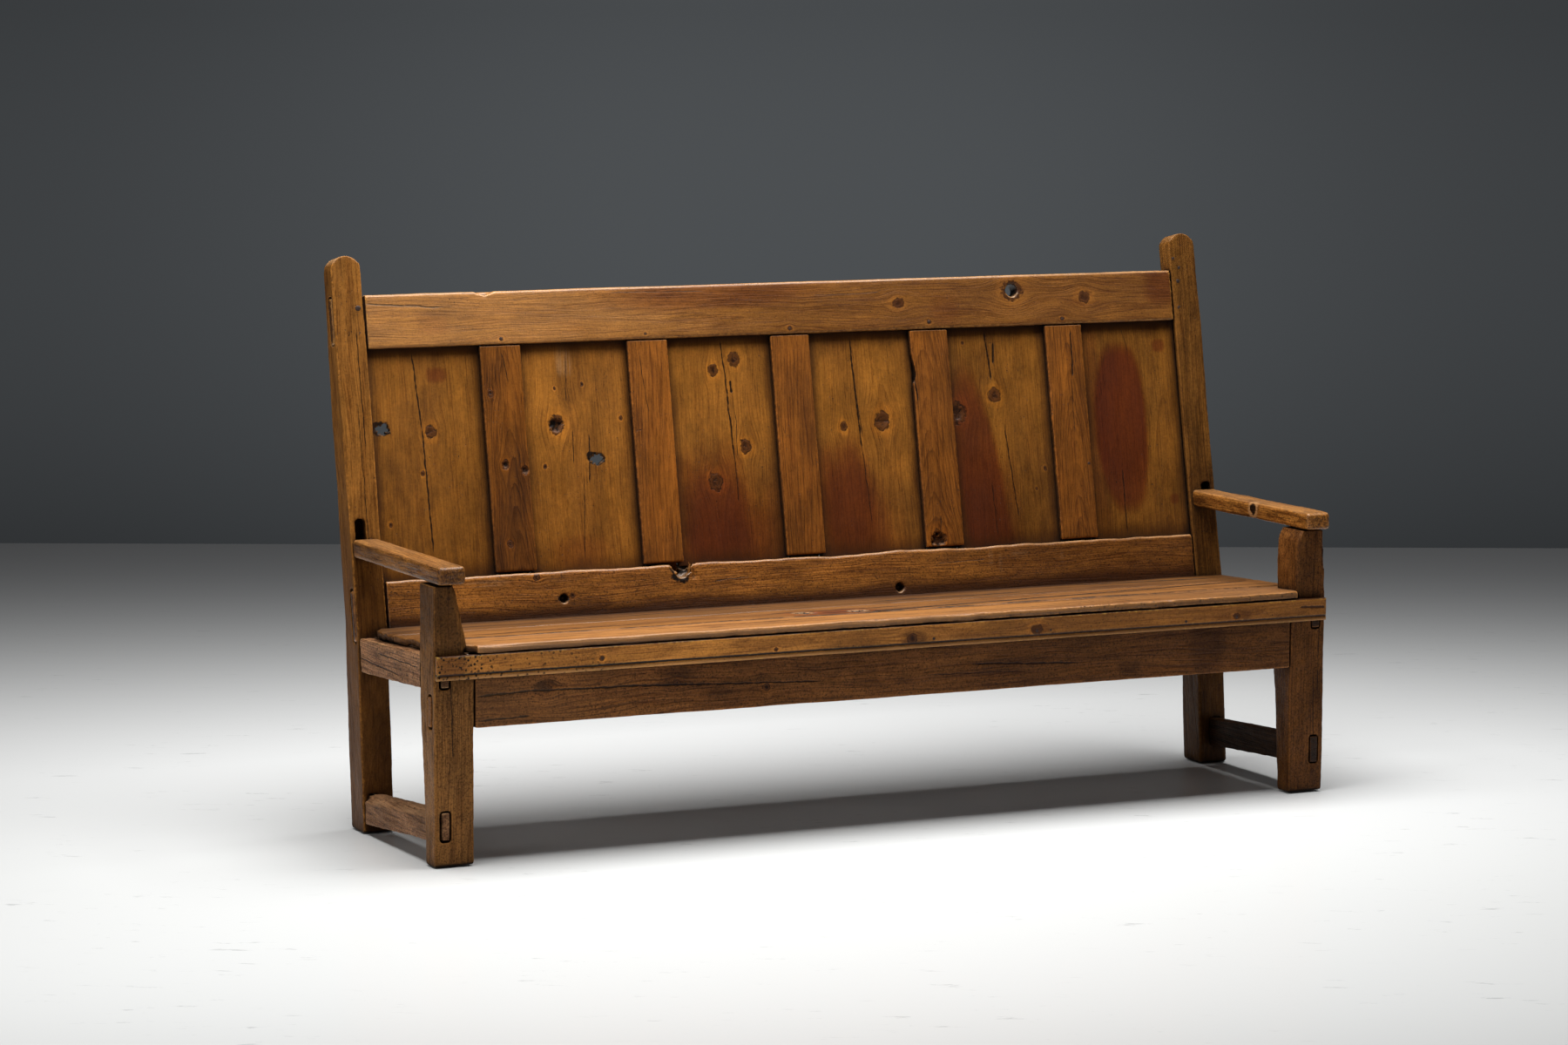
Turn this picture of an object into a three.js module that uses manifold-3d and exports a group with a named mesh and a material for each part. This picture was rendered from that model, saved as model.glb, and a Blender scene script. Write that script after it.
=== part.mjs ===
import * as THREE from 'three';
import { ConvexGeometry } from 'three/addons/geometries/ConvexGeometry.js';
import { mergeVertices } from 'three/addons/utils/BufferGeometryUtils.js';
import Module from 'manifold-3d';

// A long country settle in old pine: four posts, two arms, a raked back of six
// panels between five muntins, a plank seat and tenoned rails all round.
// Millimetres, +Z up, the front faces -Y and +X is to the right. Pieces are set
// out from the floor and from the front face of the front posts, which is y = 0.

const wasm = await Module();
wasm.setup();

const length = 1980; // over the outer faces of the posts
const clearance = 0.3; // all round a tenon, a tongue or a bearing face
const overrun = 20; // how far a cutting shape runs past the face it cuts

const rearPost = {
  width: 68,
  height: 1134,
  kneeHeight: 406, // the back is raked above this height
  footSetback: 383, // front face behind the front posts, at the floor,
  kneeSetback: 412, // at the knee
  topSetback: 553, // and at the top
  footDepth: 76,
  topDepth: 46,
  crownHeight: 31,
  arrisWidth: 4,
  footChamferWidth: 5,
};

const frontPost = {
  width: 85,
  depth: 80, // from the seat rail upwards
  kneeHeight: 322, // the back of the leg is cut away below this height
  ankleHeight: 150,
  ankleDepth: 60,
  footDepth: 51,
  supportWidth: 66, // the arm support, just above the seat
  tenonHeight: 22,
  tenonLength: 40,
  arrisWidth: 4,
  footChamferWidth: 6,
};

const side = {
  tenonThickness: 18, // one line of mortises serves arm, seat rail and stretcher
  tenonInset: 15, // from the outer face of the posts
  faceInset: 3, // rails stand back from the outer face of the posts
};

const arm = {
  width: 60,
  thickness: 38,
  reach: 22, // ahead of the front posts
  tenonLength: 40,
  tenonShoulder: 6,
  noseRadius: 12,
  arrisWidth: 6,
};

const seatRail = {
  thickness: 38,
  height: 71,
  tenonShoulder: 7,
  rearShoulder: 26, // lets the rear tenon pass under that of the lower back rail
  arrisWidth: 3,
};

const stretcher = {
  thickness: 42,
  height: 62,
  tenonShoulder: 3,
  bevelWidth: 22, // along the top outer edge, worn by feet
  bevelHeight: 15,
  arrisWidth: 3,
};

const apron = {
  thickness: 42,
  underside: 264,
  tenonThickness: 18,
  tenonSetback: 16,
  tenonShoulder: 4,
  tenonHeight: 62, // passes under the tenons of the side seat rails
  arrisWidth: 3,
};

const fascia = {
  thickness: 15,
  height: 48,
  beadHeight: 10,
  quirkHeight: 2,
  quirkDepth: 4,
  beadSetback: 2,
  topRadius: 4,
  leftMargin: 2, // short of the outer face of the post
  rightMargin: 6,
  endRadius: 7,
};

const seat = {
  overhang: 12, // ahead of the apron
  frontHeight: 427, // top of the front edge
  fallHeight: 20, // from the front edge to the lower back rail
  thickness: 17,
  nosingRadius: 7,
  frontBoardWidth: 142,
  middleBoardWidth: 139,
  boardGap: 1,
  leftMargin: 17, // short of the outer face of the rail
  rightMargin: 6,
  postGap: 1.5, // round the arm supports
  leftNotchWidth: 18, // the front edge stops short of the left support
  rightNotchWidth: 6,
  notchDepth: 22,
  wornCornerWidth: 32, // at the back of the left end
};

const ledger = { thickness: 34, height: 44, housingDepth: 10 };

const bearer = { width: 46, height: 42, spacing: 640, tenonLength: 12, tenonShoulder: 9 };

const backRail = {
  thickness: 36,
  tenonThickness: 18,
  tenonSetback: 12,
  arrisWidth: 3,
};

const topRail = {
  height: 110,
  belowCrown: 80, // from the top of the posts down to the top of the rail
  upperShoulder: 4,
  lowerShoulder: 12,
  topRadius: 8,
  holeRadius: 14,
  chipWidth: 30,
  chipDepth: 9,
};

const lowRail = {
  height: 126,
  aboveKnee: 94, // top edge, measured up the rake from the knee
  upperShoulder: 15,
  lowerShoulder: 6,
  topRadius: 6,
  holeRadius: 9,
  holeDepth: 18,
  splitWidth: 48,
  splitDepth: 30,
};

const muntin = {
  count: 5,
  width: 91,
  setback: 3,
  sideShift: 5, // the row stands a little right of the middle
  tenonLength: 25,
  tenonShoulder: 12,
  arrisWidth: 2.5,
};

const panel = {
  thickness: 12,
  setback: 16, // behind the face of the back rails
  tongueDepth: 9,
  grooveDepth: 10,
  holeWidth: 34,
  holeHeight: 24,
};

// Where the lost knots, the chip and the split lie, along a rail or panel from
// its left end and up it from its lower edge.
const knotShares = {
  topRailHole: [0.788, 0.69],
  lowRailHoles: [[0.205, 0.53], [0.615, 0.37]],
  firstPanelHole: [0.09, 0.655],
  secondPanelHole: [0.645, 0.483],
  chip: 0.139,
  split: 0.349,
};
const splitToeShares = [0.3, 0.62];

// What differs between the two ends, which were made by eye.
const leftEnd = {
  armUnderside: 543,
  mortiseSpareHeight: 35, // left empty over the arm's tenon
  stretcherFrontHeight: 76, // middle of the stretcher where it meets the post
  stretcherRearHeight: 50,
  footBevelWidth: 8, // on the inner corner of the arm support
  topBevelWidth: 27,
  innerLeanWidth: 9, // how far the sides of the arm support lean in
  outerLeanWidth: 0,
};

const rightEnd = {
  armUnderside: 551,
  mortiseSpareHeight: 12,
  stretcherFrontHeight: 88,
  stretcherRearHeight: 70,
  footBevelWidth: 4,
  topBevelWidth: 6,
  innerLeanWidth: 0,
  outerLeanWidth: 10,
};

const ends = [
  { ...leftEnd, name: 'left', sign: -1 },
  { ...rightEnd, name: 'right', sign: 1 },
];

// Sizes that follow from those above.
const halfLength = length / 2;
const rake = Math.atan2(rearPost.topSetback - rearPost.kneeSetback,
  rearPost.height - rearPost.kneeHeight);
const postRise = (rearPost.height - rearPost.kneeHeight) / Math.cos(rake);
const innerFace = halfLength - rearPost.width;
const seatUnderside = seat.frontHeight - seat.thickness;
const tenonOuter = halfLength - side.tenonInset;
const tenonInner = tenonOuter - side.tenonThickness;
const topRailTop = postRise - topRail.belowCrown;
const topRailUnder = topRailTop - topRail.height;
const lowRailTop = lowRail.aboveKnee;
const lowRailUnder = lowRailTop - lowRail.height;
const panelBack = panel.setback + panel.thickness;
const apronTenonUnder = apron.underside + apron.tenonShoulder;
const seatRailOuter = halfLength - side.faceInset;
const seatRailInner = seatRailOuter - seatRail.thickness;

// The back frame has axes of its own: x as before, y square to its face and z
// up the rake, from the knee of the rear posts.
const backFrame = new THREE.Group();
backFrame.rotation.x = -rake;
backFrame.position.set(0, rearPost.kneeSetback, rearPost.kneeHeight);
backFrame.updateMatrix();

// Front face of the rear posts at a height.
function postFront(z) {
  const { kneeHeight, footSetback, kneeSetback, topSetback, height } = rearPost;
  if (z < kneeHeight) return footSetback + (kneeSetback - footSetback) * z / kneeHeight;
  return kneeSetback + (topSetback - kneeSetback) * (z - kneeHeight) / (height - kneeHeight);
}

// The face of the lower back rail runs on below the knee in the raked plane.
function backFace(z) {
  return rearPost.kneeSetback + (z - rearPost.kneeHeight) * Math.tan(rake);
}

const seatBack = backFace(seatUnderside - seat.fallHeight) - clearance;
const seatSlope = seat.fallHeight / (seatBack + seat.overhang);

// Underside of the seat, a distance behind the front posts' face.
function seatUnder(y) {
  return seatUnderside - seatSlope * (y + seat.overhang);
}

function toSolid(geometry) {
  geometry.deleteAttribute('normal');
  geometry.deleteAttribute('uv');
  const welded = mergeVertices(geometry);
  return new wasm.Manifold(new wasm.Mesh({
    numProp: 3,
    vertProperties: new Float32Array(welded.attributes.position.array),
    triVerts: new Uint32Array(welded.index.array),
  }));
}

function toGeometry(solid) {
  const mesh = solid.getMesh();
  const geometry = new THREE.BufferGeometry();
  geometry.setAttribute('position', new THREE.BufferAttribute(mesh.vertProperties, 3));
  geometry.setIndex(new THREE.BufferAttribute(mesh.triVerts, 1));
  return geometry;
}

// A closed outline through corners [a, b]. A third number takes that corner off,
// over that length of each edge, in a curve or in a flat.
function outline(corners) {
  const shape = new THREE.Shape();
  corners.forEach(([a, b, round = 0, flat = false], i) => {
    const corner = new THREE.Vector2(a, b);
    const along = (other) => new THREE.Vector2(other[0], other[1]).sub(corner)
      .normalize().multiplyScalar(round).add(corner);
    const before = along(corners.at(i - 1));
    const after = along(corners[(i + 1) % corners.length]);
    if (i === 0) shape.moveTo(before.x, before.y);
    else shape.lineTo(before.x, before.y);
    if (round > 0 && flat) shape.lineTo(after.x, after.y);
    else if (round > 0) shape.quadraticCurveTo(a, b, after.x, after.y);
  });
  return shape;
}

// An outline drawn in (y, z), (x, z) or (x, y) and run along the third axis.
// With an arris, the edges of its two faces are rounded by that much.
function prism(shape, axis, from, to, arris = 0) {
  const geometry = new THREE.ExtrudeGeometry(shape, {
    depth: to - from - 2 * arris,
    bevelEnabled: arris > 0,
    bevelThickness: arris,
    bevelSize: arris,
    bevelOffset: -arris,
    bevelSegments: 2,
    curveSegments: 4,
  });
  geometry.translate(0, 0, from + arris);
  const turn = new THREE.Matrix4();
  if (axis === 'x') turn.set(0, 0, 1, 0, 1, 0, 0, 0, 0, 1, 0, 0, 0, 0, 0, 1);
  if (axis === 'y') {
    geometry.translate(0, 0, -from - to);
    turn.set(1, 0, 0, 0, 0, 0, -1, 0, 0, 1, 0, 0, 0, 0, 0, 1);
  }
  return geometry.applyMatrix4(turn);
}

function box([x0, x1], [y0, y1], [z0, z1]) {
  const geometry = new THREE.BoxGeometry(x1 - x0, y1 - y0, z1 - z0);
  return geometry.translate((x0 + x1) / 2, (y0 + y1) / 2, (z0 + z1) / 2);
}

// Both limits measured outwards from the middle on one side, in rising order.
function across(sign, inner, outer) {
  return sign > 0 ? [inner, outer] : [-outer, -inner];
}

function grown([from, to], by = clearance) {
  return [from - by, to + by];
}

function cut(solid, ...geometries) {
  return geometries.reduce((rest, tool) => rest.subtract(toSolid(tool)), solid);
}

function join(solid, ...geometries) {
  return geometries.reduce((rest, extra) => rest.add(toSolid(extra)), solid);
}

function keep(solid, ...geometries) {
  return geometries.reduce((rest, tool) => rest.intersect(toSolid(tool)), solid);
}

// A bar that runs between two posts, its arrises eased but its ends cut sharp.
// Its under and top edges give z for a y, and its two ends give y for a z.
function barBetween([x0, x1], { under, top, near, far }, arris) {
  const start = near(under(0)) - overrun;
  const end = far(top(0)) + overrun;
  const long = outline([
    [start, under(start)], [end, under(end)], [end, top(end)], [start, top(start)],
  ]);
  const low = Math.min(under(start), under(end)) - overrun;
  const high = Math.max(top(start), top(end)) + overrun;
  const bends = [frontPost.ankleHeight, frontPost.kneeHeight, rearPost.kneeHeight];
  const rising = [low, ...bends.filter((z) => z > low && z < high), high];
  const falling = [...rising].reverse();
  const ends = outline([...rising.map((z) => [far(z), z]), ...falling.map((z) => [near(z), z])]);
  return keep(toSolid(prism(long, 'x', x0, x1, arris)), prism(ends, 'x', ...grown([x0, x1], overrun)));
}

function tilted(geometry) {
  return geometry.applyMatrix4(backFrame.matrix);
}

// Limits in x of the clear space between muntins, one pair for each panel.
function bays() {
  const edges = [-innerFace];
  const pitch = (2 * innerFace + muntin.width) / (muntin.count + 1);
  for (let i = 1; i <= muntin.count; i += 1) {
    const middle = -innerFace - muntin.width / 2 + pitch * i + muntin.sideShift;
    edges.push(middle - muntin.width / 2, middle + muntin.width / 2);
  }
  edges.push(innerFace);
  return edges.filter((edge, i) => i % 2 === 0).map((edge, i) => [edge, edges[2 * i + 1]]);
}

// Mortises and tenons that two pieces share. Each gives the tenon's own limits,
// and the mortise is the same box grown by the clearance.

function backTenon(sign, rail, under, top) {
  const x = across(sign, innerFace - overrun, halfLength);
  const y = [backRail.tenonSetback, backRail.tenonSetback + backRail.tenonThickness];
  return [x, y, [under + rail.lowerShoulder, top - rail.upperShoulder]];
}

function apronTenon(sign) {
  const x = across(sign, halfLength - frontPost.width - overrun, halfLength);
  const y = [apron.tenonSetback, apron.tenonSetback + apron.tenonThickness];
  return [x, y, [apronTenonUnder, apronTenonUnder + apron.tenonHeight]];
}

function armTenon(end) {
  const under = end.armUnderside + arm.tenonShoulder;
  const top = end.armUnderside + arm.thickness - arm.tenonShoulder;
  const y = [postFront(under) - overrun, postFront(under) + arm.tenonLength];
  return [across(end.sign, tenonInner, tenonOuter), y, [under, top]];
}

function supportTenon(end) {
  const middle = frontPost.depth / 2;
  const y = [middle - frontPost.tenonLength / 2, middle + frontPost.tenonLength / 2];
  const z = [end.armUnderside - overrun, end.armUnderside + frontPost.tenonHeight];
  return [across(end.sign, tenonInner, tenonOuter), y, z];
}

// The side seat rails follow the seat down to the back, and the stretchers fall
// the same way. Each line gives a height at a distance behind the front face.

const seatRailTop = (y) => seatUnder(y) - clearance;
const seatRailUnder = (y) => seatRailTop(y) - seatRail.height;

function stretcherLine(end, offset) {
  const run = rearPost.footSetback - frontPost.footDepth;
  const slope = (end.stretcherRearHeight - end.stretcherFrontHeight) / run;
  return (y) => end.stretcherFrontHeight + offset + slope * (y - frontPost.footDepth);
}

function seatRailTenonOutline(from, to, upperShoulder, spare) {
  const under = (y) => seatRailUnder(y) + seatRail.tenonShoulder - spare;
  const top = (y) => seatRailTop(y) - upperShoulder + spare;
  return outline([[from, under(from)], [to, under(to)], [to, top(to)], [from, top(from)]]);
}

function stretcherTenonOutline(end, from, to, spare) {
  const reach = stretcher.height / 2 - stretcher.tenonShoulder + spare;
  const under = stretcherLine(end, -reach);
  const top = stretcherLine(end, reach);
  return outline([[from, under(from)], [to, under(to)], [to, top(to)], [from, top(from)]]);
}

// Back of the front posts and front of the rear posts at a side rail's height.
function legBack(z) {
  const { depth, kneeHeight, ankleHeight, ankleDepth, footDepth } = frontPost;
  if (z >= kneeHeight) return depth;
  if (z >= ankleHeight) {
    return ankleDepth + (depth - ankleDepth) * (z - ankleHeight) / (kneeHeight - ankleHeight);
  }
  return footDepth + (ankleDepth - footDepth) * z / ankleHeight;
}

// Posts.

function rearPostSolid(end) {
  const { kneeHeight, kneeSetback, footDepth, topDepth, crownHeight } = rearPost;
  const foot = [rearPost.footSetback, rearPost.footSetback + footDepth];
  const chamfer = rearPost.footChamferWidth;
  const top = postRise + overrun;
  const crown = (depth) => [
    kneeSetback + Math.sin(rake) * top + Math.cos(rake) * depth,
    kneeHeight + Math.cos(rake) * top - Math.sin(rake) * depth,
  ];
  const profile = outline([
    [foot[0], 0, chamfer, true], [foot[1], 0, chamfer, true],
    [kneeSetback + footDepth, kneeHeight], crown(topDepth), crown(0),
    [kneeSetback, kneeHeight],
  ]);
  const [x0, x1] = across(end.sign, innerFace, halfLength);
  const post = toSolid(prism(profile, 'x', x0, x1, rearPost.arrisWidth));
  const front = new THREE.Shape();
  front.moveTo(x0, -postRise);
  front.lineTo(x1, -postRise);
  front.lineTo(x1, postRise - crownHeight);
  front.absellipse((x0 + x1) / 2, postRise - crownHeight, (x1 - x0) / 2, crownHeight, 0, Math.PI);
  const crowned = keep(post, tilted(prism(front, 'y', -footDepth - rearPost.kneeHeight,
    2 * footDepth + rearPost.kneeHeight)));
  return cut(crowned, ...rearPostMortises(end));
}

function rearPostMortises(end) {
  const { sign } = end;
  const groove = box(
    across(sign, innerFace - overrun, innerFace + panel.grooveDepth),
    grown([panel.setback, panelBack]),
    [lowRailTop - panel.grooveDepth, topRailUnder + panel.grooveDepth]);
  const rails = [
    backTenon(sign, topRail, topRailUnder, topRailTop),
    backTenon(sign, lowRail, lowRailUnder, lowRailTop),
  ].map(([x, y, z]) => box(grown(x, overrun), grown(y), grown(z)));
  const [armX, armY, [armUnder, armTop]] = armTenon(end);
  const armMortise = box(grown(armX), grown(armY),
    [armUnder - clearance, armTop + arm.tenonShoulder + end.mortiseSpareHeight]);
  const back = postFront(0) + rearPost.footDepth + 2 * overrun;
  const [x0, x1] = grown(across(sign, tenonInner, tenonOuter));
  const railMortise = seatRailTenonOutline(postFront(0) - overrun, back,
    seatRail.rearShoulder, clearance);
  const stretcherMortise = stretcherTenonOutline(end, postFront(0) - overrun, back, clearance);
  return [
    tilted(groove),
    ...rails.map(tilted),
    armMortise,
    prism(railMortise, 'x', x0, x1),
    prism(stretcherMortise, 'x', x0, x1),
  ];
}

function frontPostSolid(end) {
  const { sign } = end;
  const { width, depth, kneeHeight, ankleHeight, ankleDepth, footDepth, footChamferWidth } = frontPost;
  const top = end.armUnderside;
  const profile = outline([
    [0, 0, footChamferWidth, true], [footDepth, 0, footChamferWidth, true],
    [ankleDepth, ankleHeight], [depth, kneeHeight], [depth, top + overrun], [0, top + overrun],
  ]);
  const [x0, x1] = across(sign, halfLength - width, halfLength);
  const post = toSolid(prism(profile, 'x', x0, x1, frontPost.arrisWidth));
  const shoulder = seatUnder(depth) - clearance;
  const front = outline([
    [sign * halfLength, 0], [sign * (halfLength - width), 0],
    [sign * (halfLength - width), shoulder],
    [sign * (halfLength - frontPost.supportWidth), shoulder],
    [sign * (halfLength - frontPost.supportWidth + end.innerLeanWidth), top],
    [sign * (halfLength - end.outerLeanWidth), top], [sign * halfLength, shoulder],
  ]);
  const shaped = keep(post, prism(front, 'y', -overrun, depth + overrun));
  const tenoned = join(shaped, box(...supportTenon(end)));
  return cut(tenoned, supportBevel(end, shoulder), ...frontPostMortises(end));
}

// The inner front corner of the arm support is pared away, more so at the top.
function supportBevel(end, shoulder) {
  const inner = halfLength - frontPost.supportWidth;
  const level = (bevel, z) => [
    [bevel + overrun, -overrun], [-overrun, bevel + overrun], [-overrun, -overrun],
  ].map(([out, back]) => new THREE.Vector3(end.sign * (inner + out), back, z));
  return new ConvexGeometry([
    ...level(end.footBevelWidth, shoulder),
    ...level(end.topBevelWidth, end.armUnderside + overrun),
  ]);
}

function frontPostMortises(end) {
  const [apronX, apronY, apronZ] = apronTenon(end.sign);
  const [x0, x1] = grown(across(end.sign, tenonInner, tenonOuter));
  const back = frontPost.depth + overrun;
  return [
    box(grown(apronX, overrun), grown(apronY), grown(apronZ)),
    prism(seatRailTenonOutline(-overrun, back, seatRail.tenonShoulder, clearance), 'x', x0, x1),
    prism(stretcherTenonOutline(end, -overrun, back, clearance), 'x', x0, x1),
  ];
}

// Arms and the rails at the two ends.

function armSolid(end) {
  const { armUnderside: under } = end;
  const top = under + arm.thickness;
  const outer = halfLength - side.faceInset + clearance;
  const [x0, x1] = across(end.sign, outer - arm.width, outer);
  const far = postFront(top) + overrun;
  const nose = [-arm.reach, arm.noseRadius];
  const plan = outline([[x0, ...nose], [x1, ...nose], [x1, far], [x0, far]]);
  const bar = toSolid(prism(plan, 'z', under, top, arm.arrisWidth));
  const endCut = outline([
    [-arm.reach - overrun, under - overrun],
    [postFront(under - overrun) - clearance, under - overrun],
    [postFront(top + overrun) - clearance, top + overrun],
    [-arm.reach - overrun, top + overrun],
  ]);
  const shaped = keep(bar, prism(endCut, 'x', x0 - overrun, x1 + overrun));
  const [x, y, z] = supportTenon(end);
  return cut(join(shaped, box(...armTenon(end))), box(grown(x), grown(y), grown(z)));
}

function seatRailSolid(end) {
  const width = across(end.sign, seatRailInner, seatRailOuter);
  const bar = barBetween(width, {
    under: seatRailUnder,
    top: seatRailTop,
    near: () => frontPost.depth + clearance,
    far: (z) => postFront(z) - clearance,
  }, seatRail.arrisWidth);
  const [t0, t1] = across(end.sign, tenonInner, tenonOuter);
  const back = postFront(0) + rearPost.footDepth;
  const middle = (frontPost.depth + postFront(0)) / 2;
  const tenoned = join(bar,
    prism(seatRailTenonOutline(0, middle, seatRail.tenonShoulder, 0), 'x', t0, t1),
    prism(seatRailTenonOutline(middle, back, seatRail.rearShoulder, 0), 'x', t0, t1));
  const housing = box(grown(across(end.sign, 0, seatRailInner + ledger.housingDepth)),
    grown(ledgerDepth()), grown(ledgerRise()));
  return cut(tenoned, housing);
}

function stretcherSolid(end) {
  const outer = halfLength - side.faceInset;
  const bar = barBetween(across(end.sign, outer - stretcher.thickness, outer), {
    under: stretcherLine(end, -stretcher.height / 2),
    top: stretcherLine(end, stretcher.height / 2),
    near: (z) => legBack(z) + clearance,
    far: (z) => postFront(z) - clearance,
  }, stretcher.arrisWidth);
  const [t0, t1] = across(end.sign, tenonInner, tenonOuter);
  const back = postFront(0) + rearPost.footDepth;
  const tenons = toSolid(prism(stretcherTenonOutline(end, 0, back, 0), 'x', t0, t1));
  return cut(bar, stretcherBevel(end, outer)).add(tenons);
}

// A slanting cut along the top outer edge of the stretcher, between the posts.
function stretcherBevel(end, outer) {
  const section = outline([
    [end.sign * (outer - stretcher.bevelWidth), overrun],
    [end.sign * (outer - stretcher.bevelWidth), 0],
    [end.sign * outer, -stretcher.bevelHeight],
    [end.sign * (outer + overrun), -stretcher.bevelHeight],
    [end.sign * (outer + overrun), overrun],
  ]);
  const run = rearPost.footSetback - frontPost.footDepth;
  const fall = end.stretcherFrontHeight - end.stretcherRearHeight;
  const slope = Math.atan2(-fall, run);
  const reach = rearPost.footSetback + rearPost.footDepth;
  const wedge = prism(section, 'y', -reach, reach);
  wedge.rotateX(slope);
  return wedge.translate(0, frontPost.footDepth, end.stretcherFrontHeight + stretcher.height / 2);
}

// Front and back rails.

function apronSolid() {
  const reach = halfLength - frontPost.width;
  const profile = outline([
    [0, apron.underside, apron.arrisWidth], [apron.thickness, apron.underside, apron.arrisWidth],
    [apron.thickness, seatUnder(apron.thickness) - clearance],
    [0, seatUnder(0) - clearance],
  ]);
  const rail = toSolid(prism(profile, 'x', -reach, reach));
  const tenoned = join(rail, box(...apronTenon(-1)), box(...apronTenon(1)));
  return cut(tenoned, ...bearerPlaces().map((x) => bearerMortise(x, apron.thickness)));
}

function fasciaSolid() {
  const top = seatUnder(0) - clearance;
  const under = top - fascia.height;
  const face = -fascia.thickness;
  const beadFace = face + fascia.beadSetback;
  const beadTop = under + fascia.beadHeight;
  const beadRound = fascia.beadHeight / 2 - clearance;
  const profile = outline([
    [0, under], [0, top], [face, top, fascia.topRadius],
    [face, beadTop + fascia.quirkHeight], [beadFace + fascia.quirkDepth, beadTop + fascia.quirkHeight / 2],
    [beadFace, beadTop, beadRound], [beadFace, under, beadRound],
  ]);
  const left = -halfLength + fascia.leftMargin;
  const right = halfLength - fascia.rightMargin;
  const board = toSolid(prism(profile, 'x', left, right));
  const round = fascia.endRadius;
  const plan = outline([[left, face, round], [right, face, round], [right, 0], [left, 0]]);
  return keep(board, prism(plan, 'z', under - overrun, top + overrun));
}

function seatBoards() {
  const edges = [
    -seat.overhang,
    seat.frontBoardWidth - seat.overhang,
    seat.frontBoardWidth + seat.middleBoardWidth - seat.overhang,
    seatBack + seat.boardGap,
  ];
  return [0, 1, 2].map((i) => seatBoardSolid(edges[i], edges[i + 1] - seat.boardGap, i));
}

function seatBoardSolid(front, back, place) {
  const { thickness } = seat;
  const nosing = place === 0 ? seat.nosingRadius : 0;
  const shape = outline([
    [front, seatUnder(front)], [back, seatUnder(back)],
    [back, seatUnder(back) + thickness], [front, seatUnder(front) + thickness, nosing],
  ]);
  const left = -seatRailOuter + seat.leftMargin;
  const right = seatRailOuter - seat.rightMargin;
  const board = toSolid(prism(shape, 'x', left, right));
  if (place === 0) return cut(board, seatNotch(-1, seat.leftNotchWidth), seatNotch(1, seat.rightNotchWidth));
  if (place === 2) return cut(board, wornEnd(left, back));
  return board;
}

// Clears the arm support, and stops the front edge a little short of it.
function seatNotch(sign, stop) {
  const support = halfLength - frontPost.supportWidth - seat.postGap;
  const back = frontPost.depth + seat.postGap;
  const plan = outline([
    [sign * (halfLength + overrun), -seat.overhang - overrun],
    [sign * (support - stop), -seat.overhang - overrun],
    [sign * (support - stop), -seat.overhang + seat.notchDepth / 2],
    [sign * support, -seat.overhang + seat.notchDepth],
    [sign * support, back], [sign * (halfLength + overrun), back],
  ]);
  return prism(plan, 'z', seatUnderside - seat.fallHeight - overrun, seat.frontHeight + overrun);
}

function wornEnd(left, back) {
  const plan = outline([
    [left - overrun, back - seat.wornCornerWidth], [left, back - seat.wornCornerWidth],
    [left + seat.wornCornerWidth, back + overrun], [left - overrun, back + overrun],
  ]);
  return prism(plan, 'z', seatUnderside - seat.fallHeight - overrun, seat.frontHeight);
}

// Under the seat: a ledger along the lower back rail and two bearers.

function ledgerDepth() {
  const back = backFace(backRailFootHeight()) - clearance;
  return [back - ledger.thickness, back];
}

function ledgerRise() {
  const top = seatUnder(ledgerDepth()[1]) - clearance;
  return [top - ledger.height, top];
}

// Height of the front lower edge of the lower back rail.
function backRailFootHeight() {
  return rearPost.kneeHeight + Math.cos(rake) * lowRailUnder;
}

function ledgerSolid() {
  const reach = seatRailInner + ledger.housingDepth - clearance;
  const strip = toSolid(box([-reach, reach], ledgerDepth(), ledgerRise()));
  return cut(strip, ...bearerPlaces().map((x) => bearerMortise(x, ledgerDepth()[0])));
}

function bearerPlaces() {
  return [-bearer.spacing / 2, bearer.spacing / 2];
}

function bearerTenonSection(x) {
  const top = seatUnder(ledgerDepth()[0]) - clearance - bearer.tenonShoulder;
  const under = top - bearer.height + 2 * bearer.tenonShoulder;
  return [[x - bearer.width / 2, x + bearer.width / 2], [under, top]];
}

function bearerMortise(x, face) {
  const [breadth, rise] = bearerTenonSection(x);
  return box(grown(breadth), grown([face, face], bearer.tenonLength + clearance), grown(rise));
}

function bearerSolid(x) {
  const near = apron.thickness + clearance;
  const far = ledgerDepth()[0] - clearance;
  const top = (y) => seatUnder(y) - clearance;
  const under = top(far) - bearer.height;
  const profile = outline([[near, under], [far, under], [far, top(far)], [near, top(near)]]);
  const [breadth, rise] = bearerTenonSection(x);
  const bar = toSolid(prism(profile, 'x', ...breadth));
  return join(bar, box(breadth, grown([near, far], bearer.tenonLength - clearance), rise));
}

// The back frame, in its own axes.

function backRailSolid(rail, under, top) {
  const { thickness, arrisWidth: arris } = backRail;
  const section = outline([
    [0, under, arris], [thickness, under, arris], [thickness, top, arris], [0, top, rail.topRadius],
  ]);
  const bar = toSolid(prism(section, 'x', -innerFace, innerFace));
  return join(bar, box(...backTenon(-1, rail, under, top)), box(...backTenon(1, rail, under, top)));
}

// The groove for the panels, and deeper mortises for the muntins, along an edge
// that faces up (+1) or down (-1).
function panelChannel(edge, facing) {
  const along = (from, to) => (facing > 0 ? [edge - to, edge + from] : [edge - from, edge + to]);
  const y = grown([panel.setback, panelBack]);
  const groove = box([-innerFace - overrun, innerFace + overrun], y,
    along(overrun, panel.grooveDepth));
  const mortises = muntinPlaces().map(([x0, x1]) => box(
    grown([x0 + muntin.tenonShoulder, x1 - muntin.tenonShoulder]), y,
    along(overrun, muntin.tenonLength + clearance)));
  return [groove, ...mortises];
}

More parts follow.
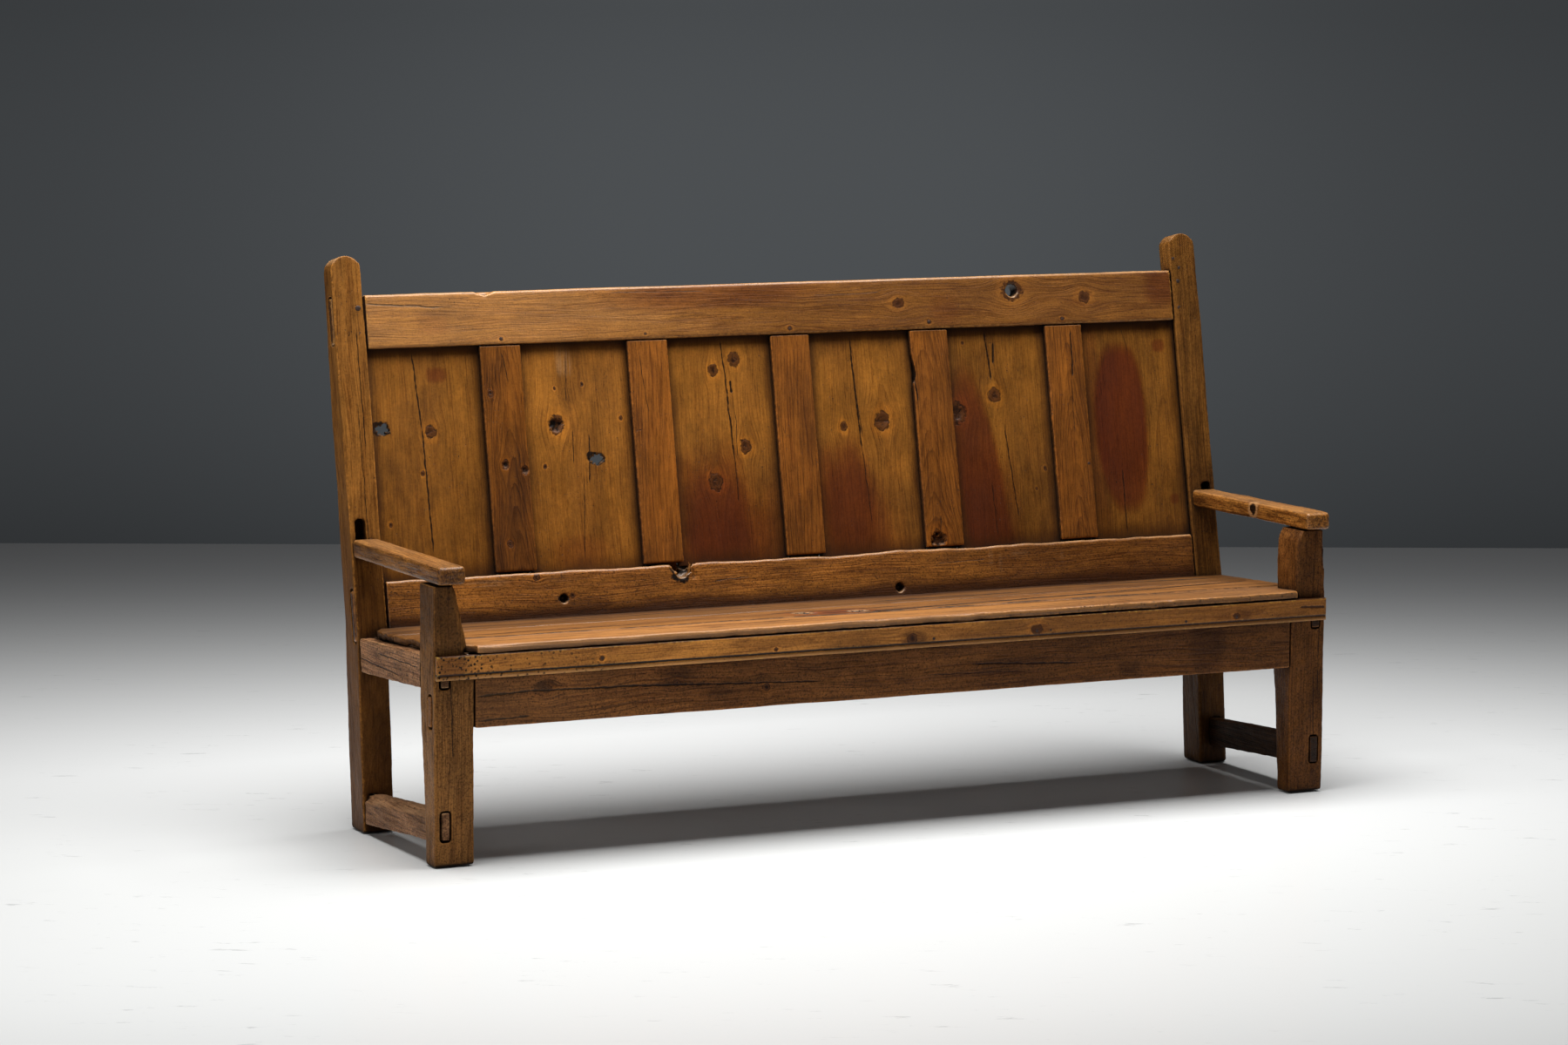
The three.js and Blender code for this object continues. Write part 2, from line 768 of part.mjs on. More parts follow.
function topRailSolid() {
  const rail = backRailSolid(topRail, topRailUnder, topRailTop);
  const [alongShare, upShare] = knotShares.topRailHole;
  const hole = knotHole(railPlace(alongShare), topRailUnder + topRail.height * upShare,
    topRail.holeRadius, topRail.holeRadius, -overrun, backRail.thickness + overrun);
  const chipAt = railPlace(knotShares.chip);
  const chip = outline([
    [chipAt - topRail.chipWidth, topRailTop + topRail.chipDepth],
    [chipAt - topRail.chipWidth / 2, topRailTop - topRail.chipDepth / 2],
    [chipAt, topRailTop - topRail.chipDepth],
    [chipAt + topRail.chipWidth / 2, topRailTop - topRail.chipDepth / 2],
    [chipAt + topRail.chipWidth, topRailTop + topRail.chipDepth],
  ]);
  const worn = prism(chip, 'y', -overrun, backRail.thickness / 2);
  return cut(rail, hole, worn, ...panelChannel(topRailUnder, -1));
}

function lowRailSolid() {
  const rail = backRailSolid(lowRail, lowRailUnder, lowRailTop);
  const holes = knotShares.lowRailHoles.map(([alongShare, upShare]) => knotHole(
    railPlace(alongShare), lowRailUnder + lowRail.height * upShare,
    lowRail.holeRadius, lowRail.holeRadius, -overrun, lowRail.holeDepth));
  const { splitWidth, splitDepth } = lowRail;
  const left = railPlace(knotShares.split) - splitWidth / 2;
  const [toe, heel] = splitToeShares.map((share) => left + splitWidth * share);
  const split = outline([
    [left, lowRailTop + overrun], [left, lowRailTop], [toe, lowRailTop - splitDepth],
    [heel, lowRailTop - splitDepth], [left + splitWidth, lowRailTop],
    [left + splitWidth, lowRailTop + overrun],
  ]);
  const broken = prism(split, 'y', -overrun, panel.setback);
  return cut(rail, broken, ...holes, ...panelChannel(lowRailTop, 1));
}

function railPlace(share) {
  return innerFace * (2 * share - 1);
}

function knotHole(x, z, halfWide, halfHigh, from, to) {
  const shape = new THREE.Shape();
  shape.absellipse(x, z, halfWide, halfHigh, 0, 2 * Math.PI);
  return prism(shape, 'y', from, to);
}

function muntinPlaces() {
  const clear = bays();
  return clear.slice(1).map(([right], i) => [clear[i][1], right]);
}

function muntinSolid([x0, x1]) {
  const { setback, arrisWidth: arris, tenonShoulder, tenonLength } = muntin;
  const back = backRail.thickness;
  const plan = outline([[x0, setback, arris], [x1, setback, arris], [x1, back], [x0, back]]);
  const under = lowRailTop + clearance;
  const top = topRailUnder - clearance;
  const bar = toSolid(prism(plan, 'z', under, top));
  const tenons = box([x0 + tenonShoulder, x1 - tenonShoulder], [panel.setback, panelBack],
    grown([lowRailTop, topRailUnder], tenonLength));
  const y = grown([panel.setback, panelBack]);
  const z = [under - overrun, top + overrun];
  const grooves = [
    box([x0 - overrun, x0 + panel.grooveDepth], y, z),
    box([x1 - panel.grooveDepth, x1 + overrun], y, z),
  ];
  return cut(join(bar, tenons), ...grooves);
}

function panelSolid([x0, x1], place) {
  const z = grown([lowRailTop, topRailUnder], panel.tongueDepth);
  const board = toSolid(box(grown([x0, x1], panel.tongueDepth), [panel.setback, panelBack], z));
  const holes = [knotShares.firstPanelHole, knotShares.secondPanelHole];
  if (place >= holes.length) return board;
  const [alongShare, upShare] = holes[place];
  const x = x0 + (x1 - x0) * alongShare;
  const up = lowRailTop + (topRailUnder - lowRailTop) * upShare;
  return cut(board, knotHole(x, up, panel.holeWidth / 2, panel.holeHeight / 2, 0, 2 * panelBack));
}

// Assembly.

const pine = {
  honey: { color: 0xa86f33, roughness: 0.5 },
  amber: { color: 0x9c6229, roughness: 0.48 },
  brown: { color: 0x7d5028, roughness: 0.55 },
  shaded: { color: 0x6b4a2a, roughness: 0.65 },
};

function piece(name, solid, look) {
  const mesh = new THREE.Mesh(toGeometry(solid),
    new THREE.MeshStandardMaterial({ ...pine[look], metalness: 0 }));
  mesh.name = name;
  return mesh;
}

const frame = new THREE.Group();
for (const end of ends) {
  frame.add(
    piece(`rear_post_${end.name}`, rearPostSolid(end), 'honey'),
    piece(`front_post_${end.name}`, frontPostSolid(end), 'brown'),
    piece(`arm_${end.name}`, armSolid(end), 'honey'),
    piece(`side_seat_rail_${end.name}`, seatRailSolid(end), 'shaded'),
    piece(`stretcher_${end.name}`, stretcherSolid(end), 'shaded'),
  );
}
frame.add(
  piece('front_rail', apronSolid(), 'brown'),
  piece('fascia_moulding', fasciaSolid(), 'honey'),
  piece('seat_ledger', ledgerSolid(), 'shaded'),
);
['front', 'middle', 'rear'].forEach((name, i) => {
  frame.add(piece(`seat_board_${name}`, seatBoards()[i], 'honey'));
});
['left', 'right'].forEach((name, i) => {
  frame.add(piece(`seat_bearer_${name}`, bearerSolid(bearerPlaces()[i]), 'shaded'));
});

backFrame.add(
  piece('top_back_rail', topRailSolid(), 'honey'),
  piece('lower_back_rail', lowRailSolid(), 'honey'),
);
muntinPlaces().forEach((place, i) => {
  backFrame.add(piece(`muntin_${i + 1}`, muntinSolid(place), 'amber'));
});
bays().forEach((bay, i) => {
  backFrame.add(piece(`panel_${i + 1}`, panelSolid(bay, i), 'amber'));
});
frame.add(backFrame);

// The origin lies on the floor under the middle of the whole settle.
const settle = new THREE.Group();
settle.add(frame);
settle.updateMatrixWorld(true);
const extent = new THREE.Box3().setFromObject(settle, true);
frame.position.y = -(extent.min.y + extent.max.y) / 2;

export default settle;
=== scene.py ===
import bpy
import math
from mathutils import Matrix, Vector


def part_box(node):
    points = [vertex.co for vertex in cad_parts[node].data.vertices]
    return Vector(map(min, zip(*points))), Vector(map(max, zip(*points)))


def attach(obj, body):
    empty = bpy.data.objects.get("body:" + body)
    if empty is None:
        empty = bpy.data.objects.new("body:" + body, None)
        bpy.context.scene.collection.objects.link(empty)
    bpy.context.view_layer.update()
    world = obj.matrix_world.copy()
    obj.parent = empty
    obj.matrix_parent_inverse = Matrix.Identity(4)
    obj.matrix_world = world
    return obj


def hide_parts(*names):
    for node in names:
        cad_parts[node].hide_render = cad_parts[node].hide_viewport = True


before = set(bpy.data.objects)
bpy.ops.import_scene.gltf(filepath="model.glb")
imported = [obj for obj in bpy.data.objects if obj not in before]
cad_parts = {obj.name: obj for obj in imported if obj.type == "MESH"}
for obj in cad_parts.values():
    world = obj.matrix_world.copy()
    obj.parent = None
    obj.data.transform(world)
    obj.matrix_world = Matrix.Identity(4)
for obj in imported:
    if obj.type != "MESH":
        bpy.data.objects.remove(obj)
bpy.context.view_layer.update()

from types import SimpleNamespace
from mathutils import Matrix, Vector, noise

# The raked back: where it starts, and how far behind its face the rails and muntins lie, in metres
rake = math.radians(10.99)
knee = Vector((0.0, 0.123544, 0.406))
railFace = 0.0
muntinFace = 0.003


def onBack(x, up, behind=0.0):  # a place along the back, up the rake and behind the face
    return knee + Vector((x, behind * math.cos(rake) + up * math.sin(rake),
                          up * math.cos(rake) - behind * math.sin(rake)))


def upRake(co):  # the other way round from onBack
    away = co - knee
    return (co.x, away.y * math.sin(rake) + away.z * math.cos(rake),
            away.y * math.cos(rake) - away.z * math.sin(rake))


# Shader values that add and multiply like numbers

class Field:
    def __init__(self, tree, socket):
        self.tree = tree
        self.socket = socket

    def __add__(self, other):
        return reckon("ADD", self, other)

    def __sub__(self, other):
        return reckon("SUBTRACT", self, other)

    def __rsub__(self, other):
        return reckon("SUBTRACT", other, self)

    def __mul__(self, other):
        return reckon("MULTIPLY", self, other)

    def __truediv__(self, other):
        return reckon("DIVIDE", self, other)

    def __pow__(self, other):
        return reckon("POWER", self, other)

    def __abs__(self):
        return reckon("ABSOLUTE", self)


def addNode(tree, kind, **settings):
    node = tree.nodes.new(kind)
    for key, value in settings.items():
        setattr(node, key, value)
    return node


def feed(node, given):
    for key, value in given.items():
        if isinstance(value, Field):
            value.tree.links.new(value.socket, node.inputs[key])
        else:
            node.inputs[key].default_value = value


def made(tree, kind, given, out=0, **settings):
    node = addNode(tree, kind, **settings)
    feed(node, given)
    return Field(tree, node.outputs[out])


def treeOf(*values):
    return next(value.tree for value in values if isinstance(value, Field))


def reckon(operation, *values, clamp=False):
    return made(treeOf(*values), "ShaderNodeMath", dict(enumerate(values)),
                operation=operation, use_clamp=clamp)


def ramp(value, low, high, toLow=0.0, toHigh=1.0, kind="SMOOTHSTEP"):  # low may lie above high
    given = dict(enumerate((value, low, high, toLow, toHigh)))
    return made(value.tree, "ShaderNodeMapRange", given, interpolation_type=kind)


def mixColor(amount, under, over, blend="MIX"):
    under, over = ((*color, 1) if isinstance(color, tuple) else color for color in (under, over))
    return made(treeOf(amount, under, over), "ShaderNodeMix", {0: amount, 6: under, 7: over}, 2,
                data_type="RGBA", blend_type=blend, clamp_factor=True)


def join3(*values):
    return made(treeOf(*values), "ShaderNodeCombineXYZ", dict(enumerate(values)))


def split3(vector):
    node = addNode(vector.tree, "ShaderNodeSeparateXYZ")
    feed(node, {0: vector})
    return [Field(vector.tree, socket) for socket in node.outputs]


def cloud(place, scale, detail=2.0, rough=0.5):
    given = {"Vector": place, "Scale": scale, "Detail": detail, "Roughness": rough}
    return made(place.tree, "ShaderNodeTexNoise", given, noise_dimensions="3D")


def objectPlace(tree):
    return made(tree, "ShaderNodeTexCoord", {}, "Object")


def turnBack(place, location, rotation):  # places as seen in a frame that is moved and turned
    given = {"Vector": place, "Location": location, "Rotation": rotation}
    return made(place.tree, "ShaderNodeMapping", given, vector_type="TEXTURE")


def most(masks):
    total = masks[0]
    for mask in masks[1:]:
        total = reckon("MAXIMUM", total, mask)
    return total


def newMaterial(name):
    material = bpy.data.materials.new(name)
    material.use_nodes = True
    return material, material.node_tree, material.node_tree.nodes["Principled BSDF"]


def newGroup(name, inputs, outputs):
    group = bpy.data.node_groups.new(name, "ShaderNodeTree")
    for way, items in (("INPUT", inputs), ("OUTPUT", outputs)):
        for item in items:
            group.interface.new_socket(item, in_out=way, socket_type="NodeSocketFloat")
    taken = group.nodes.new("NodeGroupInput").outputs
    return group, [Field(group, taken[item]) for item in inputs], group.nodes.new("NodeGroupOutput")


def useGroup(group, *values):
    tree = treeOf(*values)
    node = addNode(tree, "ShaderNodeGroup", node_tree=group)
    feed(node, dict(enumerate(values)))
    return [Field(tree, socket) for socket in node.outputs]


# Marks that lie at a known place on a board

def makeKnotGroup():
    inputs = ("across", "along", "atAcross", "atAlong", "radius", "wobble")
    group, fields, given = newGroup("knot", inputs, ("pull", "disc", "rim", "core", "halo", "slit"))
    across, along, atAcross, atAlong, radius, wobble = fields
    aside = across - atAcross
    upward = (along - atAlong) * 0.85
    away = reckon("SQRT", aside * aside + upward * upward)
    rel = away / radius + wobble * 1.3  # 1 at the rim
    far = away / (radius * 2.6)
    disc = ramp(rel, 1.12, 0.88)
    angle = (atAcross + atAlong) * 41.0  # each knot's drying crack has an angle of its own
    slant = aside * reckon("COSINE", angle) + upward * reckon("SINE", angle)
    slant = abs(slant / radius) + wobble * 0.6
    feed(given, {"pull": aside * reckon("EXPONENT", far * far * -1.0) * 0.85, "disc": disc,
                 "rim": ramp(abs(rel - 1.0), 0.20, 0.04), "core": ramp(rel, 0.95, 0.15),
                 "halo": ramp(rel, 2.3, 1.3) * ramp(rel, 1.0, 1.2), "slit": ramp(slant, 0.16, 0.05) * disc})
    return group


def makeCrackGroup():
    inputs = ("across", "along", "fromAcross", "fromAlong", "toAcross", "toAlong", "width", "sway", "ragged")
    group, fields, given = newGroup("crack", inputs, ("mask",))
    across, along, fromAcross, fromAlong, toAcross, toAlong, width, sway, ragged = fields
    run = (along - fromAlong) / (toAlong - fromAlong)
    inside = reckon("MINIMUM", reckon("MULTIPLY", run, 12.0, clamp=True),
                    reckon("MULTIPLY", 1.0 - run, 12.0, clamp=True))
    line = fromAcross + (toAcross - fromAcross) * run + sway
    gap = width * inside * ragged
    feed(given, {"mask": reckon("DIVIDE", gap - abs(across - line), gap * 0.45 + 0.00015, clamp=True)})
    return group


def makeStainGroup():
    inputs = ("across", "along", "atAcross", "atAlong", "halfAcross", "halfAlong", "wobble", "soft", "slant")
    group, fields, given = newGroup("stain", inputs, ("mask",))
    across, along, atAcross, atAlong, halfAcross, halfAlong, wobble, soft, slant = fields
    squareness = 2.8  # 2 gives an ellipse, more a fuller shape
    upward = along - atAlong
    aside = abs((across - atAcross - upward * slant) / halfAcross) ** squareness
    away = (aside + abs(upward / halfAlong) ** squareness) ** (1 / squareness)
    feed(given, {"mask": ramp(away + wobble * (soft * 2.2), soft + 1.0, 1.0 - soft)})
    return group


knotGroup = makeKnotGroup()
crackGroup = makeCrackGroup()
stainGroup = makeStainGroup()

# Old waxed pine

pine = {
    "honey": {"early": (0.310, 0.125, 0.023), "late": (0.085, 0.025, 0.0042)},
    "panel": {"early": (0.265, 0.102, 0.014), "late": (0.100, 0.031, 0.0040)},
    "orange": {"early": (0.300, 0.112, 0.0190), "late": (0.085, 0.023, 0.0038)},
    "olive": {"early": (0.200, 0.088, 0.0220), "late": (0.075, 0.028, 0.0070)},
    "muntin": {"early": (0.205, 0.068, 0.0095), "late": (0.050, 0.0135, 0.0022)},
    "seat": {"early": (0.300, 0.122, 0.029), "late": (0.090, 0.029, 0.0062)},
    "brown": {"early": (0.150, 0.056, 0.0125), "late": (0.036, 0.0115, 0.0027)},
    "dull": {"early": (0.190, 0.094, 0.0430), "late": (0.070, 0.031, 0.0120)},
    # soot dark for cracks, pits and worm holes, and painted shade in holes, corners, creases and on side
    # faces
    "soot": (0.007, 0.0035, 0.0018),
    "knot": (0.080, 0.0255, 0.0056),
    "knotCore": (0.012, 0.004, 0.0015),
    "stainTone": (0.098, 0.0245, 0.0075),
    "bareWood": (0.17, 0.115, 0.066),  # shows through where the wax is rubbed off, and serves as painted highlight on tops, arrises and bright bands
}
tints = {  # what each mark leaves of the colour under it
    "smoke": (0.42, 0.40, 0.42),
    "stain": (0.60, 0.285, 0.20),
    "stainEdge": (0.6, 0.44, 0.42),
    "smudge": (0.36, 0.33, 0.33),
    "hairLine": (0.60, 0.48, 0.42),
    "pore": (0.30, 0.23, 0.20),
    "grit": (0.34, 0.28, 0.26),
    "paleGrit": (1.55, 1.5, 1.45),
    "knotHalo": (1.5, 1.42, 1.2),
}
grain = {  # how fine each figure is, in its repeats to the metre
    "fibre": (380.0, 120.0, 9.0),  # across, through and along the board
    "fleck": (1000.0, 600.0, 55.0),
    "hair": (95.0, 40.0, 2.6),
    "pore": (330.0, 200.0, 34.0),
    "jitter": (160.0, 1.0, 26.0),
    "broad": 8.0,
    "patch": 14.0,
    "cloudy": 17.0,
    "wobble": 105.0,
    "speck": 120.0,
    "pit": 230.0,
    "gritty": 270.0,
}
surface = {
    "ringEdge": 2.6,       # how sharply the late wood of a ring ends
    "cornerReach": 0.028,  # how far dirt and painted shade reach out of a corner
    "rough": (0.42, 0.56),
    "coatRough": 0.2,
    "bumpHeight": 0.0026,
    "bumpStrength": 0.75,
}

# Marks lie at a place across and along the board, and their lengths are in millimetres:
#   knots     across, along, radius; how hollow
#   cracks    from across and along, to across and along, width
#   holes     across, along, half sizes
#   bores     x, y, z, radius
#   stains    across, along, half sizes; amount, softness, and the slant if it has one
#   smudges   across, along, half sizes; amount, and the same for pale patches
# Bands are in metres:
#   grime  dirt and painted shade, measured across, along or in depth: clean at, full at; amount, and the same
#   for rubbed bands of wear and painted highlight
#   lines     across, half width; amount, how dashed
#   worms     none at, full at, along the board; amount, nests to the metre
markLengths = {"knots": 3, "cracks": 5, "holes": 4, "bores": 4, "stains": 4, "smudges": 4, "pale": 4}
plainBoard = dict(
    pith=(0.0, 0.05), spacing=0.005, taper=0.03, contrast=0.8, seed=0.0, drift=0.012, stretch=1.0, widen=1.0,
    knots=(), cracks=(), holes=(), bores=(), stains=(), smudges=(), pale=(),
    grime=(), rubbed=(), lines=(), worms=(), tone=1.0, patina=0.5, worn=0.6, topWorn=0.0, dirt=1.0,
    sideDark=0.0, endDark=0.0, grit=0.3, fine=1.0, sheen=0.15, gloss=0.05, wax=0.0, relief=1.0)

grainWays = {  # which of x, y and z run across, through and along a board
    "backUp": (0, 1, 2), "up": (0, 1, 2), "backAlong": (2, 1, 0), "along": (2, 1, 0),
    "seat": (1, 2, 0), "deep": (2, 0, 1), "arm": (0, 2, 1),
}
endWays = {"arm": 1, "deep": 1, "up": 2, "backUp": 2}  # the axis that its end grain faces; else 0


def scaled(color, factor):
    return tuple(c * factor for c in color)


def lay(wood, amount, color):  # another colour over the board, so much of it
    wood.color = mixColor(amount, wood.color, color)


def tint(wood, amount, factor):
    wood.color = mixColor(amount, wood.color, factor, "MULTIPLY")


def layBoard(wood):  # where each point lies on the board, and how uneven it is there
    place = objectPlace(wood.tree)
    if wood.lie.startswith("back"):
        place = turnBack(place, knee, (-rake, 0, 0))
    wood.spot = place
    ways = split3(place)
    wood.across, wood.depth, wood.along = (ways[way] for way in grainWays[wood.lie])
    wood.seedUp = wood.along + wood.seed
    slow = cloud(join3(wood.across * 5.0, wood.depth * 5.0, wood.seedUp), 2.4)
    wood.place = wood.across + (slow - 0.5) * (wood.drift * 2)
    wood.speck = cloud(wood.spot, grain["speck"], 3.0, 0.65)
    wood.wobble = cloud(wood.spot, grain["wobble"], 3.0) - 0.5
    wood.patch, wood.broad, wood.cloudy = (
        cloud(join3(wood.across + wood.seed * shift, wood.depth, wood.along * (slower * wood.stretch)),
              grain[figure], detail, rough)
        for figure, shift, slower, detail, rough in (
            ("patch", 1, 0.45, 4.0, 0.6), ("broad", 2, 0.4, 5.0, 0.62), ("cloudy", 3, 0.5, 5.0, 0.7)))
    wood.uncertain = wood.patch - 0.5


def turnRoundKnots(wood):  # the grain gives way to each knot
    discs, rims, cores, halos = [], [], [], []
    for atAcross, atAlong, radius, hollow in wood.knots:
        parts = useGroup(knotGroup, wood.across, wood.along, atAcross, atAlong, radius, wood.wobble)
        pull, disc, rim, core, halo, slit = parts
        wood.place = wood.place - pull
        discs.append(disc)
        rims.append(rim)
        halos.append(halo)
        cores.append(core * ramp(wood.speck, 0.62, 0.48, 0.1, 1.0) * (0.2 + 0.8 * hollow))
        if hollow < 0.8:
            cores.append(slit * 0.65)
    if wood.knots:
        wood.disc, wood.rim, wood.core, wood.halo = (most(masks) for masks in (discs, rims, cores, halos))


def streak(wood, figure, detail, rough=0.5):  # a figure drawn out along the grain
    acrossScale, depthScale, alongScale = grain[figure]
    place = join3(wood.place * (acrossScale / wood.widen), wood.depth * depthScale,
                  wood.seedUp * (alongScale * wood.stretch))
    return cloud(place, 1.0, detail, rough)


def growRings(wood):  # round the pith, in a board cut from a tapering trunk
    fromPith = wood.place - wood.pith[0]
    below = wood.depth - wood.pith[1]
    ringAt = reckon("SQRT", fromPith * fromPith + below * below) + wood.along * wood.taper
    uneven = cloud(join3(ringAt * 70.0, 0.0, wood.seedUp), 1.0, 3.0, 0.6)
    ringTurn = ringAt / wood.spacing + uneven * 3.0
    saw = reckon("FRACT", ringTurn + streak(wood, "jitter", 2.0) * 0.45)
    wood.lateWood = saw ** surface["ringEdge"] * ramp(saw, 1.0, 0.93)
    wood.fibre = streak(wood, "fibre", 4.0, 0.7)
    strength = ramp(wood.patch, 0.3, 0.7, 0.35, 1.25) * wood.contrast
    wood.color = mixColor(reckon("MULTIPLY", wood.lateWood, strength, clamp=True), wood.early, wood.late)
    lay(wood, ramp(wood.fibre, 0.50, 0.64, 0.0, 0.75 * wood.fine), wood.late)
    lay(wood, ramp(wood.fibre, 0.42, 0.28, 0.0, 0.5 * wood.fine), wood.light)
    flecks = ramp(streak(wood, "fleck", 2.0, 0.6), 0.56, 0.66, 0.0, 0.6 * wood.fine)
    lay(wood, flecks, scaled(wood.late, 0.6))


def waxAndSmoke(wood):  # old wax and smoke, in streaks and patches
    lay(wood, ramp(wood.broad, 0.44, 0.70, 0.0, wood.patina), wood.smoke)
    lay(wood, ramp(wood.patch, 0.52, 0.80, 0.0, wood.patina * 0.6), wood.smoke)
    lay(wood, ramp(wood.broad, 0.47, 0.28, 0.0, 0.5), wood.light)
    clouded = ramp(wood.cloudy, 0.3, 0.7, 1.0 + 0.5 * wood.patina, 1.0 - 0.62 * wood.patina)
    value = clouded * ramp(wood.fibre, 0.3, 0.7, 1.0 + 0.12 * wood.fine, 1.0 - 0.18 * wood.fine)
    tint(wood, 1.0, join3(value, value, value))


def spillMask(wood, shape, soft=0.4, slant=0.0):
    return useGroup(stainGroup, wood.across, wood.along, *shape, wood.uncertain, soft, slant)[0]


def spillStains(wood):  # they keep the grain and dry with a darker edge
    for stain in wood.stains:
        *shape, amount, soft, slant = (*stain, 0.0)[:7]  # no slant given means none
        mask = spillMask(wood, shape, soft, slant)
        tint(wood, mask * ramp(wood.broad, 0.3, 0.7, 0.8, 1.0) * amount, tints["stain"])
        tint(wood, mask * (1.0 - mask) * (1.2 * amount), tints["stainEdge"])
        lay(wood, mask * mask * (0.5 * amount), pine["stainTone"])
    for *shape, amount in wood.smudges:
        tint(wood, spillMask(wood, shape) * amount, tints["smudge"])
    for *shape, amount in wood.pale:
        lay(wood, spillMask(wood, shape) * ramp(wood.fibre, 0.4, 0.6) * amount, wood.bare)


def openPores(wood):  # crisp lines, pores and grit of old softwood
    hair = abs(streak(wood, "hair", 3.0, 0.55) - 0.5)
    wood.hairLine = ramp(hair, 0.05, 0.012) * ramp(wood.fibre, 0.36, 0.6, 0.35, 1.0)
    wood.gritty = cloud(wood.spot, grain["gritty"], 3.0, 0.65)
    pores = ramp(streak(wood, "pore", 1.0), 0.64, 0.72) * ramp(wood.patch, 0.38, 0.6, 0.2, 1.0)
    tint(wood, wood.hairLine * (0.8 * wood.fine), tints["hairLine"])
    tint(wood, pores * (0.9 * wood.fine), tints["pore"])
    tint(wood, ramp(wood.gritty, 0.50, 0.64) * wood.grit, tints["grit"])
    tint(wood, ramp(wood.gritty, 0.46, 0.34) * (wood.grit * 0.7), tints["paleGrit"])


def colorKnots(wood):
    tint(wood, wood.halo * ramp(wood.patch, 0.3, 0.6, 0.25, 0.8), tints["knotHalo"])
    lay(wood, wood.disc * 0.9, pine["knot"])
    lay(wood, wood.rim * ramp(wood.speck, 0.35, 0.6, 0.95, 0.3), pine["knotCore"])
    lay(wood, wood.core, pine["knotCore"])


def openCracks(wood):
    sway = (cloud(join3(wood.seed, 0.0, wood.along), 26.0, 4.0, 0.6) - 0.5) * 0.007
    ragged = ramp(cloud(join3(wood.seed, 3.0, wood.along), 70.0), 0.3, 0.65, 0.5, 1.1)
    wood.crack = most([useGroup(crackGroup, wood.across, wood.along, *crack, sway, ragged)[0]
                       for crack in wood.cracks])
    lay(wood, wood.crack * 0.97, pine["soot"])


def drawLines(wood):  # joints that have filled with dirt, and painted shade along a groove that the worn surface has blurred
    for middle, half, amount, dashed in wood.lines:
        line = ramp(abs(wood.across - middle), half, half * 0.5, 0.0, amount)
        if dashed:
            gaps = cloud(join3(wood.seed, 7.0, wood.along), 13.0, 4.0, 0.6)
            line = line * ramp(gaps, 0.40, 0.52, 1.0 - dashed, 1.0)
        lay(wood, line, pine["soot"])


# painted shade in and round holes, bores and the split, most of them not cut into the mesh; a bore also gets
# a lighter ring
def blackenHoles(wood):
    for atAcross, atAlong, halfAcross, halfAlong in wood.holes:
        aside = (wood.across - atAcross) / halfAcross
        upward = (wood.along - atAlong) / halfAlong
        rel = reckon("SQRT", aside * aside + upward * upward) + wood.wobble * 1.2
        lay(wood, ramp(rel, 1.3, 1.0), pine["soot"])
    for *middle, radius in wood.bores:
        ends = {0: wood.spot, 1: middle}
        away = made(wood.tree, "ShaderNodeVectorMath", ends, "Value", operation="DISTANCE")
        rel = away / radius + wood.wobble * 1.2
        lay(wood, ramp(rel, 2.2, 1.5) * ramp(rel, 1.0, 1.3) * 0.6, wood.bare)
        lay(wood, ramp(rel, 1.2, 0.9), pine["soot"])


def rubAndSoil(wood):  # bands of wear and painted highlight in the bare colour, then of dirt and painted shade in the smoke colour
    for bands, color in ((wood.rubbed, wood.bare), (wood.grime, wood.smoke)):
        for way, clean, full, amount in bands:
            edge = getattr(wood, way) + wood.uncertain * (abs(full - clean) * 1.2)
            lay(wood, ramp(edge, clean, full, 0.0, amount), color)


def wearArrises(wood):  # rubbed arrises with painted highlight, dirt and painted shade in corners and creases, and small pits
    geometry = addNode(wood.tree, "ShaderNodeNewGeometry")
    point = Field(wood.tree, geometry.outputs["Pointiness"])
    wood.facing = split3(Field(wood.tree, geometry.outputs["Normal"]))
    # painted shade: faces that look to either side along x are darkened
    if wood.sideDark:
        lay(wood, ramp(abs(wood.facing[0]), 0.5, 0.85, 0.0, wood.sideDark), pine["soot"])
    if wood.endDark:
        end = wood.facing[endWays.get(wood.lie, 0)]
        lay(wood, ramp(abs(end), 0.6, 0.9, 0.0, wood.endDark), wood.smoke)
    speckled = (wood.speck - 0.5) * 0.08
    # worn arrises, lighter and smoother, which also paint a highlight along the edges; the worn amount sets
    # both
    wood.rub = ramp(point + speckled, 0.515, 0.56) * wood.worn
    polished = tuple(min(0.6, c * 1.9) for c in wood.early)
    lay(wood, wood.rub * ramp(wood.patch, 0.35, 0.6, 0.3, 1.0), polished)
    # dirt and painted shade: darker in creases, and in corners where the occlusion finds little light
    # reaching
    hollowed = ramp(point + speckled * 0.5, 0.490, 0.455)
    reach = {"Distance": surface["cornerReach"]}
    openness = made(wood.tree, "ShaderNodeAmbientOcclusion", reach, "AO", samples=4)
    corner = ramp(openness + wood.uncertain * 0.5, 0.88, 0.38)
    wood.soil = reckon("MAXIMUM", hollowed, corner) * (wood.dirt * 0.92)
    lay(wood, wood.soil, pine["soot"])
    wood.pits = ramp(cloud(wood.spot, grain["pit"], 1.0), 0.70, 0.76) * ramp(wood.patch, 0.46, 0.60)
    lay(wood, wood.pits * 0.85, pine["soot"])


def boreWorms(wood):
    for none, full, amount, nests in wood.worms:
        given = {"Scale": nests, "Vector": wood.spot}
        away = made(wood.tree, "ShaderNodeTexVoronoi", given, "Distance", feature="F1")
        bored = ramp(away, 0.34, 0.24) * ramp(wood.speck, 0.42, 0.48)
        lay(wood, bored * ramp(wood.along, none, full, 0.0, amount), pine["soot"])


